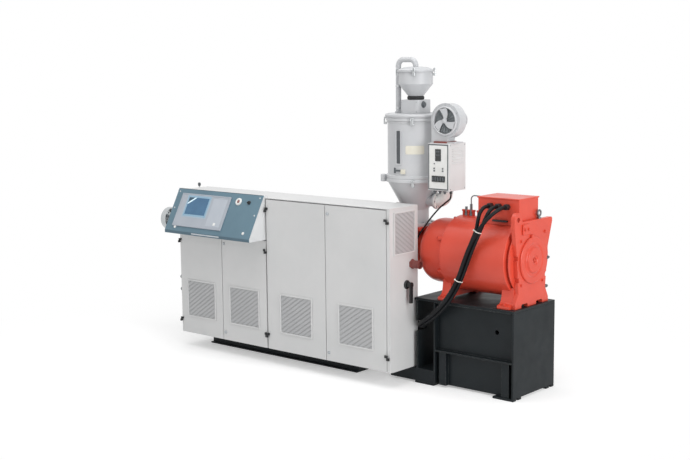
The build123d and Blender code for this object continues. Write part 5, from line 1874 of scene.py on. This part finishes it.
    def build(self) -> None:
        """Make the whole dryer."""
        Rounded("dryer_cone", "dryer_funnel", DRYER_ENAMEL, "dryer_paint", 0.003).build()
        self.shell()
        self.fittings()
        self.cover()
        self.clamps()


@dataclass
class AirHeater:
    """The dryer's heater box, its control panel, the blower and the air elbow."""

    panel_width: float = 0.196
    panel_inset: float = 0.007
    panel_proud: float = 0.004
    panel_border: float = 0.009
    blower: tuple[float, float, float] = (1.3115, 0.0315, 1.998)
    ring: float = 0.108
    ring_proud: float = 0.012
    scroll_radius: float = 0.128
    scroll_depth: float = 0.092
    cup: float = 0.097
    cavity: float = 0.050
    outlet: float = 0.150
    flange: tuple[float, float, float] = (0.178, 0.118, 0.009)
    motor: float = 0.066

    def panel(self) -> None:
        """Make the heater's control panel."""
        low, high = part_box("heater_box")
        left, face = high.x - self.panel_width, low.y
        size = (self.panel_width - 2 * self.panel_inset, high.z - low.z - 2 * self.panel_inset)
        centre = middle_of("heater_box", x=(left + high.x) / 2, y=face)
        Part().border(centre + Y * 0.0004, X, Z, size, self.panel_border, 0.0016, 0.0004).piece(
            "panel_border", DARK_GREY_PLASTIC, "black_fittings"
        )
        plate = Vector((size[0] / 2 - self.panel_border, 0, size[1] / 2 - self.panel_border))
        Part().block(centre - plate - Y * 0.0008, centre + plate + Y * 0.0004).piece(
            "panel_sheet", WHITE_PLASTIC, "box_white"
        )
        corner = Vector((left, face - 0.0008, low.z))
        place = Matrix.Translation(corner)
        dark = Part().block((0.072, -0.004, 0.221), (0.124, 0.001, 0.311), 0.002, turn=place)
        dark.block((0.042, -0.006, 0.066), (0.161, 0.001, 0.112), 0.002, turn=place)
        dark.piece("panel_display", DISPLAY_BLACK, "black_fittings")
        digits = Part()
        for row, height in ((0.286, 0.012), (0.262, 0.010)):
            for column in (0.084, 0.096, 0.108):
                digits.block(
                    (column - 0.004, -0.0045, row), (column + 0.004, -0.0035, row + height), turn=place
                )
        digits.piece("display_segments", DARK_GREY_PLASTIC, "black_fittings")
        keys = Part()
        for column in (0.063, 0.141):
            for row in (0.149, 0.167):
                keys.rod(corner + Vector((column, 0.001, row)), -Y, 0.0062, 0.006, 0.001, 24)
        keys.rod(corner + Vector((0.064, 0.001, 0.202)), -Y, 0.0045, 0.005, 0.001, 20)
        for column in (0.055, 0.078, 0.101, 0.124, 0.147):
            keys.block((column - 0.006, -0.010, 0.076), (column + 0.006, -0.005, 0.102), 0.001, turn=place)
        keys.piece("panel_keys", DARK_GREY_PLASTIC, "black_fittings")

    def housing(self) -> None:
        """Make the heater box with its side louvres, its gasket and the sockets under it."""
        low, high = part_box("heater_box")
        Rounded("heater_box", "heater_housing", WHITE_ENAMEL, "box_white", 0.003).build()
        side, front = high.x, low.y + self.panel_proud
        hoods = Part()
        for row in range(7):
            edge = Vector((side - 0.0005, front + 0.040, high.z - 0.036 - row * 0.018))
            hoods.prism([edge, edge + X * 0.0055 - Z * 0.009, edge - Z * 0.009], Y * 0.130, 0.0006)
        hoods.piece("side_louvres", WHITE_ENAMEL, "box_white")
        screws = Part()
        for y in (front + 0.014, front + 0.196):
            for z in (low.z + 0.014, high.z - 0.014):
                screws.screw((side, y, z), X, 0.005)
        screws.piece("housing_screws", BRIGHT_STEEL, "clamp_steel")
        sockets = Part()
        for x in (side - 0.150, side - 0.105, side - 0.060):
            sockets.rod((x, front + 0.028, low.z + 0.001), -Z, 0.013, 0.014, 0.002, 6)
            sockets.rod((x, front + 0.028, low.z - 0.012), -Z, 0.009, 0.014, 0.002, 20)
        sockets.piece("heater_sockets", DARK_GREY_PLASTIC, "black_fittings")
        seat = Matrix.Translation((*self.blower[:2], high.z))
        gasket = Part().block((-0.094, -0.018, -0.0005), (0.026, 0.108, 0.0135), 0.002, turn=seat)
        gasket.piece("blower_gasket", BROWN_PIPE, "zinc_sheet")

    def scroll(self, centre: Vector, rear: float) -> None:
        """Make the blower's scroll with its open front, its outlet, its flange and its motor.

        Args:
            centre: middle of the scroll's front.
            rear: y of the motor's end.
        """
        radius, cup, depth, cavity = self.scroll_radius, self.cup, self.scroll_depth, self.cavity
        profile = [(cavity, 0), (cavity, cup), (0, cup), (0, radius), (depth, radius), (depth, 0)]
        part = Part().turned(profile, centre, Y, 0.002, 112)
        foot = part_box("blower")[0].z
        drop = Z * (foot - centre.z)
        outline = [centre - X * radius + drop, centre + X * (self.outlet - radius) + drop]
        for angle in range(-75, -181, -15):
            outline.append(centre + circle_way(Y, radians(angle)) * (cup + 0.006))
        outline.append(centre - X * radius)
        part.prism([corner + Y * 0.0006 for corner in outline], Y * (depth - 0.0012), 0.002)
        wide, deep, thick = self.flange
        middle = Vector((centre.x, centre.y + depth / 2, foot + thick / 2))
        part.block(middle - Vector((wide, deep, thick)) / 2, middle + Vector((wide, deep, thick)) / 2, 0.002)
        part.rod(centre + Y * (depth - 0.001), Y, self.motor, rear - centre.y - depth + 0.001, 0.003, 64)
        part.piece("blower_scroll", DRYER_ENAMEL, "box_white", ["blower"])

    def spoke(self, centre: Vector, middle: float) -> list[Vector]:
        """Return the outline of one curved spoke of the inlet, from its angle at the rim in degrees."""
        edges: list[list[Vector]] = []
        for side in (-1, 1):
            edge = []
            for step in range(7):
                share = step / 6
                radius = 0.014 + share * (self.ring - 0.025)
                angle = radians(middle + 26 * (share - 1) + side * (32 - 13 * share))
                edge.append(centre + circle_way(Y, angle) * radius)
            edges.append(edge)
        return edges[0] + edges[1][::-1]

    def fan(self) -> None:
        """Make the blower with its inlet ring, its fan, a dark disc behind the inlet and its motor's fins;
        disc and blades are dark grey as painted shade.
        """
        centre = Vector(self.blower)
        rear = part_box("blower")[1].y
        face = centre - Y * self.ring_proud
        self.scroll(centre, rear)
        ring, proud = self.ring, self.ring_proud
        rim = [
            (-0.001, ring + 0.001), (proud - 0.003, ring + 0.001), (proud, ring - 0.003),
            (proud + 0.003, ring - 0.007), (proud, ring - 0.012), (-0.001, ring - 0.012),
        ]
        inlet = Part().turned(rim, centre, -Y, 0.0005, 96, closed=True)
        hub = [(-0.009, 0), (-0.009, 0.020), (0.003, 0.018), (0.006, 0.008), (0.006, 0)]
        inlet.turned(hub, face, -Y, 0.0005, 32)
        bead = [(0, 0.126), (0.004, 0.126), (0.004, 0.131), (0, 0.131)]
        inlet.turned(bead, centre - Y * 0.001, Y, 0.0006, 112, closed=True)
        for middle in (100, 220, 340):
            inlet.prism(self.spoke(face + Y * 0.008, middle), -Y * 0.008, 0.001)
        inlet.piece("inlet_ring", DRYER_ENAMEL, "box_white")
        bolts = Part()
        for angle in around(6, 30):
            bolts.screw(centre + circle_way(Y, angle) * 0.117, -Y, 0.005)
        bolts.piece("scroll_screws", BRIGHT_STEEL, "clamp_steel")
        # A dark disc just behind the inlet's face, whose colour is painted shade in the openings
        back = Part().rod(face + Y * 0.020, Y, 0.094, 0.002, 0.0, 64)
        back.piece("inlet_shade_disc", DARK_INSIDE, "black_fittings")
        lean = Matrix.Rotation(radians(24), 4, "X")
        blades = Part()
        for angle in around(18):
            turn = Matrix.Translation(face) @ Matrix.Rotation(-angle, 4, "Y") @ lean
            blades.block((0.026, 0.010, -0.001), (0.088, 0.021, 0.001), turn=turn)
        blades.piece("fan_blades", DARK_INSIDE, "black_fittings")
        fin = [(0, 0.060), (0.003, 0.060), (0.003, 0.070), (0, 0.070)]
        fins = Part()
        for step in range(9):
            fins.turned(fin, (centre.x, rear - 0.012 - step * 0.010, centre.z), -Y, 0.0006, 64, closed=True)
        cap = [(-0.002, 0), (-0.002, 0.064), (0.008, 0.062), (0.010, 0.056), (0.010, 0)]
        fins.turned(cap, (centre.x, rear - 0.009, centre.z), Y, 0.001, 64)
        fins.piece("fan_motor_fins", DRYER_ENAMEL, "box_white")

    def elbow(self) -> None:
        """Make the air elbow with its hose clamps."""
        Rounded("air_elbow", "air_bend", WHITE_PLASTIC, "elbow_white", 0.002).build()
        low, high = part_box("air_elbow")
        drop = high.x - 0.046
        hoop = [(0, 0.0455), (0.014, 0.0455), (0.014, 0.048), (0, 0.048)]
        seat = middle_of("air_elbow", x=drop, z=high.z - 0.030)
        clamp = Part().turned(hoop, seat, Z, 0.0005, 64, closed=True)
        clamp.rod((drop - 0.012, low.y + 0.010, high.z - 0.023), X, 0.006, 0.030, 0.001, 16)
        clamp.piece("hose_clamp", BRIGHT_STEEL, "clamp_steel")
        bolts = Part()
        port = middle_of("air_elbow", x=low.x + 0.012, z=low.z + 0.062)
        for angle in around(6):
            bolts.bolt(port + circle_way(X, angle) * 0.054, X, 0.010)
        bolts.piece("port_bolts", BRIGHT_STEEL, "clamp_steel")

    def build(self) -> None:
        """Make the heater box, the blower and the elbow."""
        self.housing()
        self.panel()
        self.fan()
        self.elbow()


@dataclass
class Loader:
    """The vacuum loader on the dryer's lid."""

    def shell(self) -> None:
        """Round and coat the loader's stages."""
        for node, name, finish, slot in (
            ("loader_base", "loader_stand", DRYER_ENAMEL, "loader_steel"),
            ("loader_gasket", "loader_ring", SEAL_RUBBER, "black_rubber"),
            ("loader_hopper", "loader_funnel", DRYER_ENAMEL, "loader_steel"),
            ("loader_lid", "loader_cover", DRYER_ENAMEL, "loader_steel"),
            ("suction_pipe", "suction_tube", DRYER_ENAMEL, "loader_steel"),
        ):
            Rounded(node, name, finish, slot, 0.002).build()

    def sensor(self) -> None:
        """Make the level sensor on the base and the base's screws."""
        low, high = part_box("loader_base")
        seat = middle_of("loader_base", x=high.x, z=high.z - 0.036) - Y * 0.020
        sensor = [
            (-0.001, 0), (-0.001, 0.026), (0.004, 0.026), (0.006, 0.021), (0.014, 0.019), (0.016, 0.012),
            (0.012, 0),
        ]
        Part().turned(sensor, seat, X, 0.001, 40).piece("level_sensor", DARK_GREY_PLASTIC, "black_fittings")
        screws = Part()
        for x in (low.x + 0.018, high.x - 0.018):
            for z in (low.z + 0.016, high.z - 0.016):
                screws.screw((x, low.y, z), -Y, 0.005)
        screws.piece("base_screws", BRIGHT_STEEL, "clamp_steel")

    def joints(self) -> None:
        """Make the weld ring round the funnel and the pipe's clamp."""
        low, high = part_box("loader_hopper")
        inner, outer = (high.x - low.x) / 2 - 0.001, (high.x - low.x) / 2 + 0.0012
        bead = [(-0.002, inner), (0.002, inner), (0.002, outer), (-0.002, outer)]
        centre = middle_of("loader_hopper", z=low.z + 0.092)
        ring = Part().turned(bead, centre, Z, 0.0006, 96, closed=True)
        ring.piece("funnel_weld", DRYER_ENAMEL, "loader_steel")
        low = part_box("suction_pipe")[0]
        hoop = [(0, 0.0205), (0.012, 0.0205), (0.012, 0.0228), (0, 0.0228)]
        clamp = Part()
        for height in (0.030, 0.200):
            seat = middle_of("suction_pipe", x=low.x + 0.028, z=low.z + height)
            clamp.turned(hoop, seat, Z, 0.0005, 48, closed=True)
        clamp.piece("pipe_clamps", BRIGHT_STEEL, "clamp_steel")

    def build(self) -> None:
        """Make the whole loader."""
        self.shell()
        self.sensor()
        self.joints()


def main() -> None:
    """Build the studio, the cables and every sub-assembly."""
    logging.basicConfig(level=logging.INFO, format="%(name)s: %(message)s")
    assemblies: Sequence[Callable[[], None]] = (
        Studio().build, Cables().build, Cabinet().build, Console().build, Plinth().build, Drive().build,
        BarrelLine().build, Dryer().build, AirHeater().build, Loader().build,
    )
    for build in assemblies:
        build()


if __name__ == "__main__":
    main()
